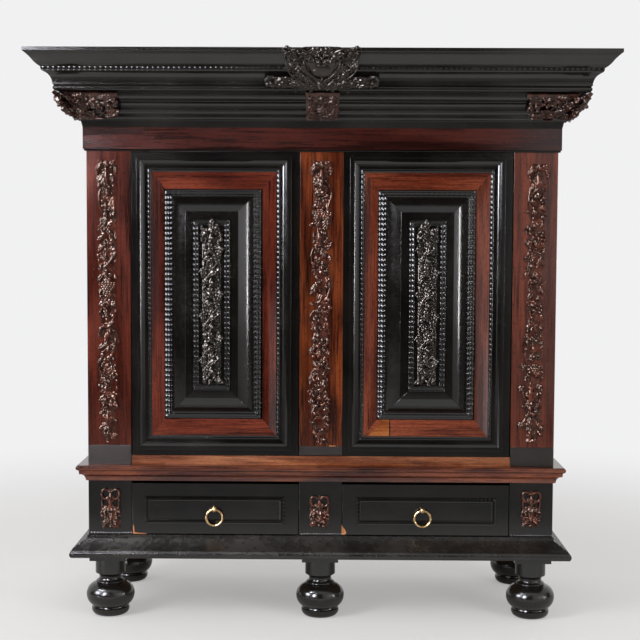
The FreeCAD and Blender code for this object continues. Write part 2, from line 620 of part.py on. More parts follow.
def door(side, name):
    """One door, drawn on the left and mirrored for the right."""
    face = FACE_Y + DOOR_SET_BACK
    x0 = -OPENING_X + HINGE_GAP
    x1 = -CENTRE_HALF - MEETING_GAP if side < 0 else -CENTRE_HALF
    meeting_border = MEETING_BORDER if side < 0 else MEETING_BORDER + MEETING_GAP
    widths = (HINGE_BORDER + MOULDING_WIDTH + BAND_WIDTH_SIDE,
              meeting_border + MOULDING_WIDTH + BAND_WIDTH_SIDE)
    extra = 0 if side < 0 else 2 * CENTRE_HALF
    frame = door_frame(x0, x1, widths, extra)
    mx0 = x0 + HINGE_BORDER
    mx1 = x1 - meeting_border
    mz0 = DOOR_BOTTOM + TOP_BORDER
    mz1 = DOOR_TOP - TOP_BORDER
    moulding = mitred_frame(DOOR_MOULDING, mx0, mx1, mz0, mz1, face)
    bx0, bx1 = mx0 + MOULDING_WIDTH, mx1 - MOULDING_WIDTH
    bz0, bz1 = mz0 + MOULDING_WIDTH, mz1 - MOULDING_WIDTH
    band = flat_frame(bx0, bx1, bz0, bz1, BAND_WIDTH_SIDE, BAND_WIDTH_TOP, face - BAND_RISE, face)
    cx0, cx1 = bx0 + BAND_WIDTH_SIDE, bx1 - BAND_WIDTH_SIDE
    cz0, cz1 = bz0 + BAND_WIDTH_TOP, bz1 - BAND_WIDTH_TOP
    cushion = mitred_frame(CUSHION_PROFILE, cx0, cx1, cz0, cz1, face)
    field = door_field(cx0, cx1, cz0, cz1, face)
    inset = CUSHION_WIDTH + RIPPLE_FRAME
    carving = foliage((cx0 + cx1) / 2, cz0 + inset + 6, cz1 - inset - 6, FIELD_CARVING_HALF,
                      face - CUSHION_RISE, FIELD_CARVING_RISE, LONG_DROP_KNOTS)
    parts = {"frame": frame, "moulding": moulding, "band": band, "cushion": cushion, "field": field,
             "carving": [carving]}
    for part_name, solids in parts.items():
        if side > 0:
            solids = [mirrored(solid) for solid in solids]
        save(name + "_" + part_name, solids)


def centre_pilaster():
    """The pilaster that covers the meeting of the doors; it is fixed to the right door."""
    back = FACE_Y + BOARD
    save("pilaster_centre", board(-CENTRE_HALF, CENTRE_HALF, FACE_Y, back, Z_PLINTH_TOP, DOOR_TOP))
    save("centre_plinth", board(-CENTRE_HALF, CENTRE_HALF, FACE_Y, back, DOOR_BOTTOM, Z_PLINTH_TOP))


LOCK_Z = 1080.0
LOCK_HIGH = 70.0
LOCK_WIDE = 74.0
LOCK_THICK = 18.0
KEEP_DEEP = 28.0
KEEP_SLACK = 2.0
BOLT_HIGH = 20.0
BOLT_THICK = 7.0
BOLT_LENGTH = 56.0
BOLT_SLACK = 0.4


def lock():
    """A rim lock behind the meeting stile, its bolt, and the keep on the other door."""
    back = FACE_Y + DOOR_SET_BACK + DOOR_THICK
    z0 = LOCK_Z - LOCK_HIGH / 2
    left = -CENTRE_HALF + 4
    case = board(left, left + LOCK_WIDE, back, back + LOCK_THICK, z0, z0 + LOCK_HIGH)
    bolt_y = back + 5
    bolt_z = LOCK_Z - BOLT_HIGH / 2
    room = board(left, left + BOLT_LENGTH + 6, bolt_y - BOLT_SLACK, bolt_y + BOLT_THICK + BOLT_SLACK,
                 bolt_z - BOLT_SLACK, bolt_z + BOLT_HIGH + BOLT_SLACK)
    save("lock_case", case.cut(room))
    save("lock_bolt", board(left + 1, left + 1 + BOLT_LENGTH, bolt_y, bolt_y + BOLT_THICK,
                            bolt_z, bolt_z + BOLT_HIGH))
    keep_x = -CENTRE_HALF - MEETING_GAP - 4
    keep = board(keep_x - KEEP_DEEP, keep_x, back, back + LOCK_THICK, z0 + 8, z0 + LOCK_HIGH - 8)
    keep_room = board(keep_x - KEEP_DEEP + 4, keep_x, bolt_y - KEEP_SLACK, bolt_y + BOLT_THICK + KEEP_SLACK,
                      bolt_z - KEEP_SLACK, bolt_z + BOLT_HIGH + KEEP_SLACK)
    save("lock_keep", keep.cut(keep_room))


def carvings():
    """The carved drops on the pilasters and the small ones on the posts of the drawer row."""
    pilaster_x = (HALF + OPENING_X) / 2
    low = Z_PLINTH_TOP + 4
    high = Z_LINTEL - 36
    places = {"left": -pilaster_x - 1, "centre": 1, "right": pilaster_x + 7}
    for name, x in places.items():
        save("carving_" + name, foliage(x, low, high, DROP_HALF[name], FACE_Y, DROP_RISE, LONG_DROP_KNOTS))
    save("post_carvings", [foliage(x, z0, z1, half_width, FACE_Y, POST_DROP_RISE, POST_DROP_KNOTS)
                           for x, z0, z1, half_width in POST_DROPS])


# ---------------------------------------------------------------- drawers

DRAWER_STRIP = [(0, 0), (0, 5), ((6, 10), (11, 7)), (18, 3), (18, 0)]


def drawer(side, name):
    """One drawer, drawn on the left and mirrored for the right: front, box and ring pull."""
    x0 = -OPENING_X + DRAWER_GAP
    x1 = -CENTRE_HALF - DRAWER_GAP
    face = FACE_Y + 1
    back = face + DRAWER_FRONT
    front = board(x0, x1, face, back, DRAWER_BOTTOM, DRAWER_TOP)
    stem_place = Vector(-abs(RING_X[name]), face, RING_HINGE_Z)
    stem = Part.makeCylinder(STEM_R + STEM_CLEARANCE, DRAWER_FRONT, stem_place, BACKWARDS)
    strips = mitred_frame(DRAWER_STRIP, x0 + 42, x1 - 46, DRAWER_BOTTOM + 35, DRAWER_TOP - 50, face)
    end = back + DRAWER_DEPTH
    bx0, bx1 = x0 + 3, x1 - 3
    bz0, bz1 = DRAWER_BOTTOM, DRAWER_TOP - 20
    left = board(bx0, bx0 + DRAWER_SIDE, back, end, bz0, bz1)
    right = board(bx1 - DRAWER_SIDE, bx1, back, end, bz0, bz1)
    tail = board(bx0 + DRAWER_SIDE, bx1 - DRAWER_SIDE, end - DRAWER_SIDE, end, bz0, bz1)
    bottom = board(bx0 + DRAWER_SIDE, bx1 - DRAWER_SIDE, back, end - DRAWER_SIDE, bz0 + 6, bz0 + 14)
    parts = {"_front": [front.cut(stem)] + strips, "_box": [left, right, tail, bottom]}
    for part_name, solids in parts.items():
        if side > 0:
            solids = [mirrored(solid) for solid in solids]
        save("drawer_" + name + part_name, solids)
    save("ring_post_" + name, ring_post(RING_X[name], face, back))
    save("ring_" + name, pull_ring(RING_X[name], face))


def ring_post(x, face, back):
    """A brass knob with an eye on a stem through the drawer front, with a rose and a nut."""
    def disc(radius, y0, y1):
        return Part.makeCylinder(radius, y1 - y0, Vector(x, y0, RING_HINGE_Z), BACKWARDS)
    knob_y = face - RING_OUT
    knob = Part.makeSphere(KNOB_R, Vector(x, knob_y, RING_HINGE_Z))
    neck = disc(NECK_R, knob_y + KNOB_R - 2, face)
    rose = disc(ROSE_R, face - ROSE_THICK, face)
    stem = disc(STEM_R, face - 1, back + NUT_THICK + 1)
    nut = disc(NUT_R, back, back + NUT_THICK)
    eye = Part.makeCylinder(EYE_R, 4 * KNOB_R, Vector(x - 2 * KNOB_R, knob_y, RING_HINGE_Z), Vector(1, 0, 0))
    post = knob.fuse(neck).fuse(rose).fuse(stem).fuse(nut)
    return post.cut(eye).removeSplitter()


def pull_ring(x, face):
    """The ring, hanging through the eye of the knob."""
    centre = Vector(x, face - RING_OUT, RING_HINGE_Z - RING_R)
    return Part.makeTorus(RING_R, RING_TUBE_R, centre, BACKWARDS)


feet()
base()
carcass()
frieze_and_cornice()
door(-1, "door_left")
door(1, "door_right")
centre_pilaster()
lock()
carvings()
drawer(-1, "left")
drawer(1, "right")
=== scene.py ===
import json
import math
import random

import bmesh
import bpy
from mathutils import Matrix, Vector


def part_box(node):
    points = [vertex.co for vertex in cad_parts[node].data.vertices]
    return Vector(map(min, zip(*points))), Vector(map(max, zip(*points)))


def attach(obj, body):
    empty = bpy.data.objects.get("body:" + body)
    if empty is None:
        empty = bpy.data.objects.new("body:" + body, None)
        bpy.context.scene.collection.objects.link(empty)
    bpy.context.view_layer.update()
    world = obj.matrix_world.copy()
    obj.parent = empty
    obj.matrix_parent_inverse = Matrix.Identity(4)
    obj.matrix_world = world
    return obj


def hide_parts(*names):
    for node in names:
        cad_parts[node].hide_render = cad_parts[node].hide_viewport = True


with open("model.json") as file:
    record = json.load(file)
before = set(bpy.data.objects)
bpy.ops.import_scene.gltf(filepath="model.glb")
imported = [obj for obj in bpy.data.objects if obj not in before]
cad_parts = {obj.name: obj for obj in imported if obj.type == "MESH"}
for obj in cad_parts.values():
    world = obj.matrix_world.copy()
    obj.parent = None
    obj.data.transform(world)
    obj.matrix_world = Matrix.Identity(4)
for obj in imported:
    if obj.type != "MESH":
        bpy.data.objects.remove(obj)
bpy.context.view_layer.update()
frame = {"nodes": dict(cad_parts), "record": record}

MM = 0.001
NODES = frame["nodes"]
TURN = 2 * math.pi

# Places that the pieces share, in metres, from the frame
FACE_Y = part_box("pilaster_left")[0].y          # faces of the pilasters and posts
BACK_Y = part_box("back_boards")[1].y
HALF = -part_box("pilaster_left")[0].x           # half the width of the case
DEPTH = BACK_Y - FACE_Y
DOOR_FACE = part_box("door_left_frame")[0].y
DRAWER_FACE = FACE_Y + 1 * MM


# ---------------------------------------------------------------- view and light

FOCAL_PIXELS = 1314.0                          # focal length in pixels of a picture 640 pixels wide
CAMERA_PLACE = Vector((35 * MM, FACE_Y - 4423 * MM, 1312.5 * MM))
CAMERA_YAW = 0.0088
CAMERA_DIP = 0.0645
CAMERA_ROLL = 0.0047


def set_camera():
    """A long lens a little above the middle of the cupboard."""
    lens = bpy.data.cameras.new("camera")
    lens.sensor_width = 36
    lens.lens = FOCAL_PIXELS * lens.sensor_width / 640
    lens.clip_end = 60
    camera = bpy.data.objects.new("camera", lens)
    bpy.context.collection.objects.link(camera)
    turn = (Matrix.Rotation(CAMERA_YAW, 4, "Z") @ Matrix.Rotation(math.pi / 2 - CAMERA_DIP, 4, "X")
            @ Matrix.Rotation(CAMERA_ROLL, 4, "Z"))
    camera.matrix_world = Matrix.Translation(CAMERA_PLACE) @ turn
    bpy.context.scene.camera = camera


def linear(hex_colour):
    """A hex sRGB colour as linear red, green, blue and alpha."""
    values = [int(hex_colour[i:i + 2], 16) / 255 for i in (1, 3, 5)]
    return tuple(v / 12.92 if v <= 0.04045 else ((v + 0.055) / 1.055) ** 2.4 for v in values) + (1.0,)


def node(tree, kind, inputs=None, **settings):
    """Adds a node, sets its properties, and sets or links its inputs."""
    new = tree.nodes.new(kind)
    for name, value in settings.items():
        setattr(new, name, value)
    for key, value in (inputs or {}).items():
        if isinstance(value, bpy.types.NodeSocket):
            tree.links.new(value, new.inputs[key])
        else:
            new.inputs[key].default_value = value
    return new


def aimed(thing, place, target):
    thing.location = place
    thing.rotation_euler = (Vector(target) - Vector(place)).to_track_quat("-Z", "Y").to_euler()


def lamp(name, place, target, width, height, watts, colour="#ffffff"):
    """A softbox that lights the wood; its mirror image comes from a reflector of its own."""
    light = bpy.data.lights.new(name, "AREA")
    light.shape = "RECTANGLE"
    light.size = width
    light.size_y = height
    light.energy = watts
    light.color = linear(colour)[:3]
    box = bpy.data.objects.new(name, light)
    bpy.context.collection.objects.link(box)
    aimed(box, place, target)
    box.visible_glossy = False


def reflector(name, place, target, width, height, colour, strength, soft):
    """A panel that only polished surfaces see: a lit silk with fading edges, or a dark flag."""
    deselect()
    bpy.ops.mesh.primitive_plane_add(size=1)
    panel = bpy.context.active_object
    panel.name = name
    panel.scale = (width, height, 1)
    aimed(panel, place, target)
    material = bpy.data.materials.new(name)
    material.use_nodes = True
    tree = material.node_tree
    tree.nodes.clear()
    spot = node(tree, "ShaderNodeTexCoord").outputs["Object"]
    across = node(tree, "ShaderNodeSeparateXYZ", {"Vector": spot})
    fades = []
    for axis in (0, 1):
        side = node(tree, "ShaderNodeMath", {0: across.outputs[axis]}, operation="ABSOLUTE")
        fades.append(node(tree, "ShaderNodeMapRange", {
            "Value": side.outputs[0], "From Min": 0.5, "From Max": 0.5 - soft, "To Min": 0.0, "To Max": 1.0},
            interpolation_type="SMOOTHSTEP"))
    level = node(tree, "ShaderNodeMath", {0: fades[0].outputs[0], 1: fades[1].outputs[0]}, operation="MULTIPLY")
    power = node(tree, "ShaderNodeMath", {0: level.outputs[0], 1: strength}, operation="MULTIPLY")
    lit = node(tree, "ShaderNodeEmission", {"Color": linear(colour), "Strength": power.outputs[0]})
    clear = node(tree, "ShaderNodeBsdfTransparent")
    cover = node(tree, "ShaderNodeMixShader", {0: level.outputs[0], 1: clear.outputs[0], 2: lit.outputs[0]})
    node(tree, "ShaderNodeOutputMaterial", {"Surface": cover.outputs[0]})
    panel.data.materials.append(material)
    for kind in ("camera", "diffuse", "transmission", "volume_scatter", "shadow"):
        setattr(panel, "visible_" + kind, False)


PALE = "#f1f1f2"


def studio():
    """White surroundings, a large softbox high on the left and a paler one on the right."""
    world = bpy.data.worlds.new("studio")
    bpy.context.scene.world = world
    world.use_nodes = True
    tree = world.node_tree
    tree.nodes.clear()
    path = node(tree, "ShaderNodeLightPath")
    seen = node(tree, "ShaderNodeBackground", {"Color": linear(PALE), "Strength": 1.0})
    ambient = node(tree, "ShaderNodeBackground", {"Color": linear("#fffdfb"), "Strength": 0.62})
    shine = node(tree, "ShaderNodeMath", {0: path.outputs["Is Glossy Ray"], 1: path.outputs["Is Transmission Ray"]},
                 operation="MAXIMUM")
    shown = node(tree, "ShaderNodeMath", {0: shine.outputs[0], 1: path.outputs["Is Camera Ray"]}, operation="MAXIMUM")
    mix = node(tree, "ShaderNodeMixShader", {0: shown.outputs[0], 1: ambient.outputs[0], 2: seen.outputs[0]})
    node(tree, "ShaderNodeOutputWorld", {"Surface": mix.outputs[0]})
    lamp("softbox_left", (-3.0, -2.6, 2.7), (-0.1, FACE_Y, 1.1), 1.5, 1.9, 85)
    lamp("softbox_right", (2.9, -2.8, 1.7), (0, FACE_Y, 1.0), 1.1, 2.0, 38)
    bpy.context.scene.view_settings.view_transform = "Standard"


def set_stage():
    """A pale paper floor that fades into the background, and the panels that the polish mirrors."""
    deselect()
    bpy.ops.mesh.primitive_plane_add(size=60, location=(0, 0, 0))
    floor = bpy.context.active_object
    floor.name = "studio_floor"
    paper = bpy.data.materials.new("white_paper")
    paper.use_nodes = True
    tree = paper.node_tree
    tree.nodes.clear()
    spot = node(tree, "ShaderNodeTexCoord").outputs["Object"]
    reach = node(tree, "ShaderNodeVectorMath", {0: spot}, operation="LENGTH")
    far = node(tree, "ShaderNodeMapRange", {"Value": reach.outputs["Value"], "From Min": 1.3, "From Max": 4.0,
                                            "To Min": 0.35, "To Max": 1.0}, interpolation_type="SMOOTHSTEP")
    path = node(tree, "ShaderNodeLightPath")
    share = node(tree, "ShaderNodeMath", {0: far.outputs[0], 1: path.outputs["Is Camera Ray"]}, operation="MULTIPLY")
    matt = node(tree, "ShaderNodeBsdfDiffuse", {"Color": linear("#eeedec")})
    pale = node(tree, "ShaderNodeEmission", {"Color": linear(PALE), "Strength": 1.0})
    mix = node(tree, "ShaderNodeMixShader", {0: share.outputs[0], 1: matt.outputs[0], 2: pale.outputs[0]})
    node(tree, "ShaderNodeOutputMaterial", {"Surface": mix.outputs[0]})
    floor.data.materials.append(paper)
    door = (0, FACE_Y, 1.1)
    reflector("flag_front", (-0.62, -5.2, 2.3), (-0.62, 0, 2.3), 4.0, 4.6, "#262523", 1.0, 0.02)
    reflector("flag_left", (-6.6, -2.6, 1.6), (0, -0.4, 1.6), 8.5, 3.2, "#403d3a", 1.0, 0.02)
    reflector("flag_right", (5.7, -0.15, 1.4), (0, -0.3, 1.4), 3.6, 3.0, "#5a5a5e", 1.0, 0.02)
    reflector("felt_far", (0, -4.8, 0.004), (0, -4.8, -1), 9.0, 1.0, "#5c5c5c", 1.0, 0.02)
    reflector("felt_floor", (0, -3.85, 0.004), (0, -3.85, -1), 9.0, 0.92, "#848484", 1.0, 0.02)
    reflector("felt_near", (0, -2.55, 0.004), (0, -2.55, -1), 9.0, 1.7, "#a0a0a0", 1.0, 0.02)
    reflector("sunlit_floor", (-1.95, -1.2, 0.009), (-1.95, -1.2, -1), 0.8, 0.6, "#fbfaff", 28.0, 0.2)
    reflector("paper_near", (0, -0.98, 0.006), (0, -0.98, -1), 5.0, 1.36, "#f4f4f4", 1.0, 0.1)
    reflector("flag_top", (0.4, -0.1, 4.3), (0.4, -0.1, 0), 5.2, 2.8, "#5a5a5c", 1.0, 0.08)
    reflector("silk_left", (-5.9, -2.9, 3.1), door, 3.6, 3.4, "#f4f6ff", 36.0, 0.32)
    reflector("silk_high", (-3.72, -1.7, 5.5), door, 2.5, 2.5, "#f6f7ff", 80.0, 0.12)
    reflector("window_left", (-2.75, -4.95, 2.6), (-0.2, FACE_Y, 1.5), 1.25, 2.5, "#f2f4ff", 70.0, 0.12)
    reflector("silk_right", (4.74, -3.76, 1.9), door, 4.0, 3.0, "#fbfaff", 1.9, 0.16)
    reflector("strip_right", (5.05, -1.9, 1.2), door, 0.2, 1.5, "#ffffff", 65.0, 0.2)


# ---------------------------------------------------------------- modelling by hand

def deselect():
    if bpy.context.object and bpy.context.object.mode != "OBJECT":
        bpy.ops.object.mode_set(mode="OBJECT")
    bpy.ops.object.select_all(action="DESELECT")


def along_arc(start, middle, end, steps):
    """Points on the arc from start through middle to end, without the start."""
    (ax, ay), (bx, by), (cx, cy) = start, middle, end
    twice = 2 * (ax * (by - cy) + bx * (cy - ay) + cx * (ay - by))
    a, b, c = ax * ax + ay * ay, bx * bx + by * by, cx * cx + cy * cy
    x = (a * (by - cy) + b * (cy - ay) + c * (ay - by)) / twice
    y = (a * (cx - bx) + b * (ax - cx) + c * (bx - ax)) / twice
    first, through, last = (math.atan2(py - y, px - x) for px, py in (start, middle, end))
    turn = (last - first) % TURN
    if (through - first) % TURN > turn:
        turn -= TURN
    radius = math.hypot(ax - x, ay - y)
    return [(x + radius * math.cos(first + turn * i / steps), y + radius * math.sin(first + turn * i / steps))
            for i in range(1, steps + 1)]


def section(points, steps=8):
    """Profile points in millimetres as a list of metres; a pair of points is an arc through the first of them."""
    corners = [points[0]]
    for step in points[1:]:
        if isinstance(step[0], tuple):
            corners += along_arc(corners[-1], step[0], step[1], steps)
        else:
            corners.append(step)
    return [(a * MM, b * MM) for a, b in corners]


def on_panel(u, h):
    """Profile of a frame on a door: inwards, forwards."""
    return Vector((0, -h, u))


def on_case(out, up):
    """Profile of a moulding round the case: out, up."""
    return Vector((0, -out, up))


def draw_line(name, corners, start_x=0.0):
    """Starts a piece in edit mode: one point, extruded from corner to corner and closed."""
    deselect()
    bpy.ops.mesh.primitive_plane_add(size=MM, location=(0, 0, 0))
    piece = bpy.context.active_object
    piece.name = piece.data.name = name
    bpy.ops.object.mode_set(mode="EDIT")
    bpy.ops.mesh.merge(type="CENTER")
    bpy.ops.transform.translate(value=corners[0] + Vector((start_x, 0, 0)))
    for here, there in zip(corners, corners[1:]):
        bpy.ops.mesh.extrude_region_move(TRANSFORM_OT_translate={"value": there - here})
    bpy.ops.mesh.select_all(action="SELECT")
    bpy.ops.mesh.edge_face_add()
    return piece


def cut_off(place, outward, arris=0.0):
    """Saws off what lies beyond a plane, closes the end and eases its edge."""
    bpy.ops.mesh.select_all(action="SELECT")
    bpy.ops.mesh.bisect(plane_co=place, plane_no=outward, use_fill=True, clear_outer=True)
    if arris:
        bpy.ops.mesh.bevel(offset=arris, segments=1, affect="EDGES")


def saw_ends(length, lean, mitres, arris):
    """Cuts both ends, mitred towards lean or square."""
    square = Vector((0, 0, 0))
    cut_off((0, 0, 0), Vector((-1, 0, 0)) + (lean if mitres[0] else square), arris)
    cut_off((length, 0, 0), Vector((1, 0, 0)) + (lean if mitres[1] else square), arris)


def smoothed(piece, angle):
    """Shades the soft edges smooth and keeps the flat faces beside them flat."""
    bpy.ops.mesh.customdata_custom_splitnormals_clear()
    bpy.ops.object.shade_smooth_by_angle(angle=math.radians(angle))
    even = piece.modifiers.new("flats", "WEIGHTED_NORMAL")
    even.weight = 100
    even.keep_sharp = True
    bpy.ops.object.modifier_apply(modifier="flats")
    return piece


def close_up(piece, angle=28):
    """Leaves edit mode with the faces pointing outwards and the soft edges shaded smooth."""
    bpy.ops.mesh.select_all(action="SELECT")
    bpy.ops.mesh.normals_make_consistent(inside=False)
    bpy.ops.object.mode_set(mode="OBJECT")
    return smoothed(piece, angle)


def moulding(name, profile, fit, length, mitres=(True, True), arris=0.4 * MM, steps=8):
    """One planed length of moulding along X, its ends mitred for its place."""
    corners = [fit(*point) for point in section(profile, steps)]
    reach = 0.0 if fit is on_panel else 0.25
    lean = Vector((0, 0, 1)) if fit is on_panel else Vector((0, 1, 0))
    piece = draw_line(name, corners, -reach)
    bpy.ops.mesh.extrude_region_move(TRANSFORM_OT_translate={"value": (length + 2 * reach, 0, 0)})
    saw_ends(length, lean, mitres, arris)
    return close_up(piece)


RIPPLE_PITCH = 17.1                            # one wave of the ripple mouldings, in millimetres
WAVE = [(0.0, 0.0), (0.14, 0.72), (0.36, 1.0), (0.64, 1.0), (0.86, 0.72), (1.0, 0.0)]


def ripple(name, profile, fit, length, mitres=(True, True), pitch=RIPPLE_PITCH, lift=1.0):
    """One length of ripple moulding; each profile point is (place, place, rise at a crest, rise at a crest)."""
    pitch *= MM
    reach = 0.0 if fit is on_panel else 0.25
    lean = Vector((0, 0, 1)) if fit is on_panel else Vector((0, 1, 0))
    points = [[value * MM for value in point] for point in profile]
    corners = [fit(point[0], point[1]) for point in points]
    rises = [lift * fit(point[2], point[3]) for point in points]
    piece = draw_line(name, corners)
    bpy.ops.mesh.delete(type="ONLY_FACE")
    bpy.ops.mesh.select_all(action="SELECT")
    for (before, _), (after, _) in zip(WAVE, WAVE[1:]):
        bpy.ops.mesh.extrude_region_move(TRANSFORM_OT_translate={"value": ((after - before) * pitch, 0, 0)})
    mesh = bmesh.from_edit_mesh(piece.data)
    for vert in mesh.verts:
        share = min(WAVE, key=lambda step: abs(step[0] * pitch - vert.co.x))[1]
        flat = Vector((0, vert.co.y, vert.co.z))
        vert.co += share * min(zip(corners, rises), key=lambda pair: (pair[0] - flat).length)[1]
    bpy.ops.object.mode_set(mode="OBJECT")
    waves = piece.modifiers.new("waves", "ARRAY")
    waves.count = math.ceil((length + 2 * reach) / pitch) + 1
    waves.use_relative_offset = False
    waves.use_constant_offset = True
    waves.constant_offset_displace = (pitch, 0, 0)
    waves.use_merge_vertices = True
    waves.merge_threshold = 0.01 * MM
    bpy.ops.object.modifier_apply(modifier="waves")
    bpy.ops.object.mode_set(mode="EDIT")
    bpy.ops.mesh.select_all(action="SELECT")
    bpy.ops.transform.translate(value=(-reach - pitch / 2, 0, 0))
    saw_ends(length, lean, mitres, 0)
    return close_up(piece, 50)


def board(name, low, high, arris=1.2):
    """A planed board between two corners, its arrises eased."""
    deselect()
    low, high = Vector(low), Vector(high)
    bpy.ops.mesh.primitive_cube_add(size=1, location=(low + high) / 2)
    piece = bpy.context.active_object
    piece.name = piece.data.name = name
    piece.scale = high - low
    bpy.ops.object.transform_apply(location=True, rotation=True, scale=True)
    bpy.ops.object.mode_set(mode="EDIT")
    bpy.ops.mesh.select_all(action="SELECT")
    bpy.ops.mesh.bevel(offset=arris * MM, segments=3, affect="EDGES")
    return close_up(piece, 40)


def copied(piece, name):
    """A second one, with its own mesh."""
    new = piece.copy()
    new.data = piece.data.copy()
    new.name = new.data.name = name
    bpy.context.collection.objects.link(new)
    return new


def laid(piece, place, axis="Y", turn=0.0):
    """Turns a piece about the origin, carries it to its place, and leaves the place in its mesh."""
    deselect()
    piece.matrix_world = Matrix.Translation(place) @ Matrix.Rotation(turn, 4, axis)
    piece.select_set(True)
    bpy.context.view_layer.objects.active = piece
    bpy.ops.object.transform_apply(location=True, rotation=True, scale=True)
    return piece


def joined(name, pieces):
    """Glues pieces into one."""
    deselect()
    for piece in pieces:
        piece.select_set(True)
    bpy.context.view_layer.objects.active = pieces[0]
    bpy.ops.object.join()
    pieces[0].name = pieces[0].data.name = name
    return pieces[0]


def frame_lengths(name, make, x0, x1, z0, z1, y):
    """Four mitred lengths round a rectangle: bottom, top, left and right."""
    lying = make(name + "_bottom", x1 - x0)
    upright = make(name + "_left", z1 - z0)
    over = copied(lying, name + "_top")
    right = copied(upright, name + "_right")
    return [laid(lying, (x0, y, z0)), laid(over, (x1, y, z1), "Y", math.pi),
            laid(upright, (x0, y, z1), "Y", math.pi / 2), laid(right, (x1, y, z0), "Y", -math.pi / 2)]


def case_lengths(name, make, z, out=0.0):
    """Three mitred lengths round the case: front, left side and right side."""
    half = HALF + out
    face = FACE_Y - out
    front = make(name + "_front", 2 * half, (True, True))
    left = make(name + "_left", DEPTH + out, (False, True))
    right = make(name + "_right", DEPTH + out, (True, False))
    return [laid(front, (-half, face, z)), laid(left, (-half, BACK_Y, z), "Z", -math.pi / 2),
            laid(right, (half, face, z), "Z", math.pi / 2)]


def softened(node_name, name, arris=1.2):
    """A copy of a plain board from the frame with its arrises eased."""
    deselect()
    piece = bpy.data.objects.new(name, NODES[node_name].data.copy())
    piece.data.name = name
    bpy.context.collection.objects.link(piece)
    piece.select_set(True)
    bpy.context.view_layer.objects.active = piece
    bpy.ops.mesh.customdata_custom_splitnormals_clear()
    bpy.ops.object.mode_set(mode="EDIT")
    bpy.ops.mesh.select_all(action="SELECT")
    bpy.ops.mesh.remove_doubles(threshold=0.01 * MM)
    bpy.ops.mesh.dissolve_limited(angle_limit=math.radians(0.5))
    bpy.ops.object.mode_set(mode="OBJECT")
    ease = piece.modifiers.new("eased", "BEVEL")
    ease.width = arris * MM
    ease.segments = 2
    ease.limit_method = "ANGLE"
    ease.angle_limit = math.radians(40)
    bpy.ops.object.modifier_apply(modifier="eased")
    low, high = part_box(node_name)
    for vert in piece.data.vertices:
        vert.co = [min(max(place, least), most) for place, least, most in zip(vert.co, low, high)]
    return smoothed(piece, 40)


def fitted(piece, body, nodes, slot, finish):
    """Fixes a finished piece to its body, in place of plain parts of the frame, and gives it its finish."""
    piece.data.materials.clear()
    piece.data.materials.append(finish)
    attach(piece, body)
    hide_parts(*nodes)
    return piece


# ---------------------------------------------------------------- finishes

def finish_tree(name):
    """A new material without nodes, and its node tree."""
    material = bpy.data.materials.new(name)
    material.use_nodes = True
    material.node_tree.nodes.clear()
    return material, material.node_tree


def ebonised(name, low, high, polish):
    """Pearwood stained black with iron and galls, then waxed: close-grained, so the eye sees a deep
    black with soft reflections that waver a little over the hand-planed surface."""
    material, tree = finish_tree(name)
    place = node(tree, "ShaderNodeTexCoord").outputs["Object"]
    waves = node(tree, "ShaderNodeTexNoise", {"Vector": place, "Scale": 6.0, "Detail": 0.0})        # 170 mm
    clouds = node(tree, "ShaderNodeTexNoise", {"Vector": place, "Scale": 7.0, "Detail": 5.0})       # 140 mm
    rubbed = node(tree, "ShaderNodeTexNoise", {"Vector": place, "Scale": 60.0, "Detail": 4.0})      # 17 mm
    pores = node(tree, "ShaderNodeTexNoise", {"Vector": place, "Scale": 700.0, "Detail": 2.0})      # 1.5 mm
    share = node(tree, "ShaderNodeMapRange", {"Value": clouds.outputs["Fac"], "From Min": 0.35, "From Max": 0.65})
    colour = node(tree, "ShaderNodeMix", {"Factor": share.outputs[0], 6: linear(low), 7: linear(high)},
                  data_type="RGBA")
    wear = node(tree, "ShaderNodeMath", {0: clouds.outputs["Fac"], 1: rubbed.outputs["Fac"]}, operation="ADD")
    shine = node(tree, "ShaderNodeMapRange", {"Value": wear.outputs[0], "From Min": 0.7, "From Max": 1.3,
                                              "To Min": polish[0], "To Max": polish[1]})
    planed = node(tree, "ShaderNodeBump", {"Height": waves.outputs["Fac"], "Strength": 0.3, "Distance": 1.0 * MM})
    grain = node(tree, "ShaderNodeBump", {"Height": pores.outputs["Fac"], "Strength": 0.1, "Distance": 0.12 * MM,
                                          "Normal": planed.outputs[0]})
    shader = node(tree, "ShaderNodeBsdfPrincipled", {"Base Color": colour.outputs[2], "Roughness": shine.outputs[0],
                                                     "IOR": 1.5, "Normal": grain.outputs[0]})
    node(tree, "ShaderNodeOutputMaterial", {"Surface": shader.outputs[0]})
    return material


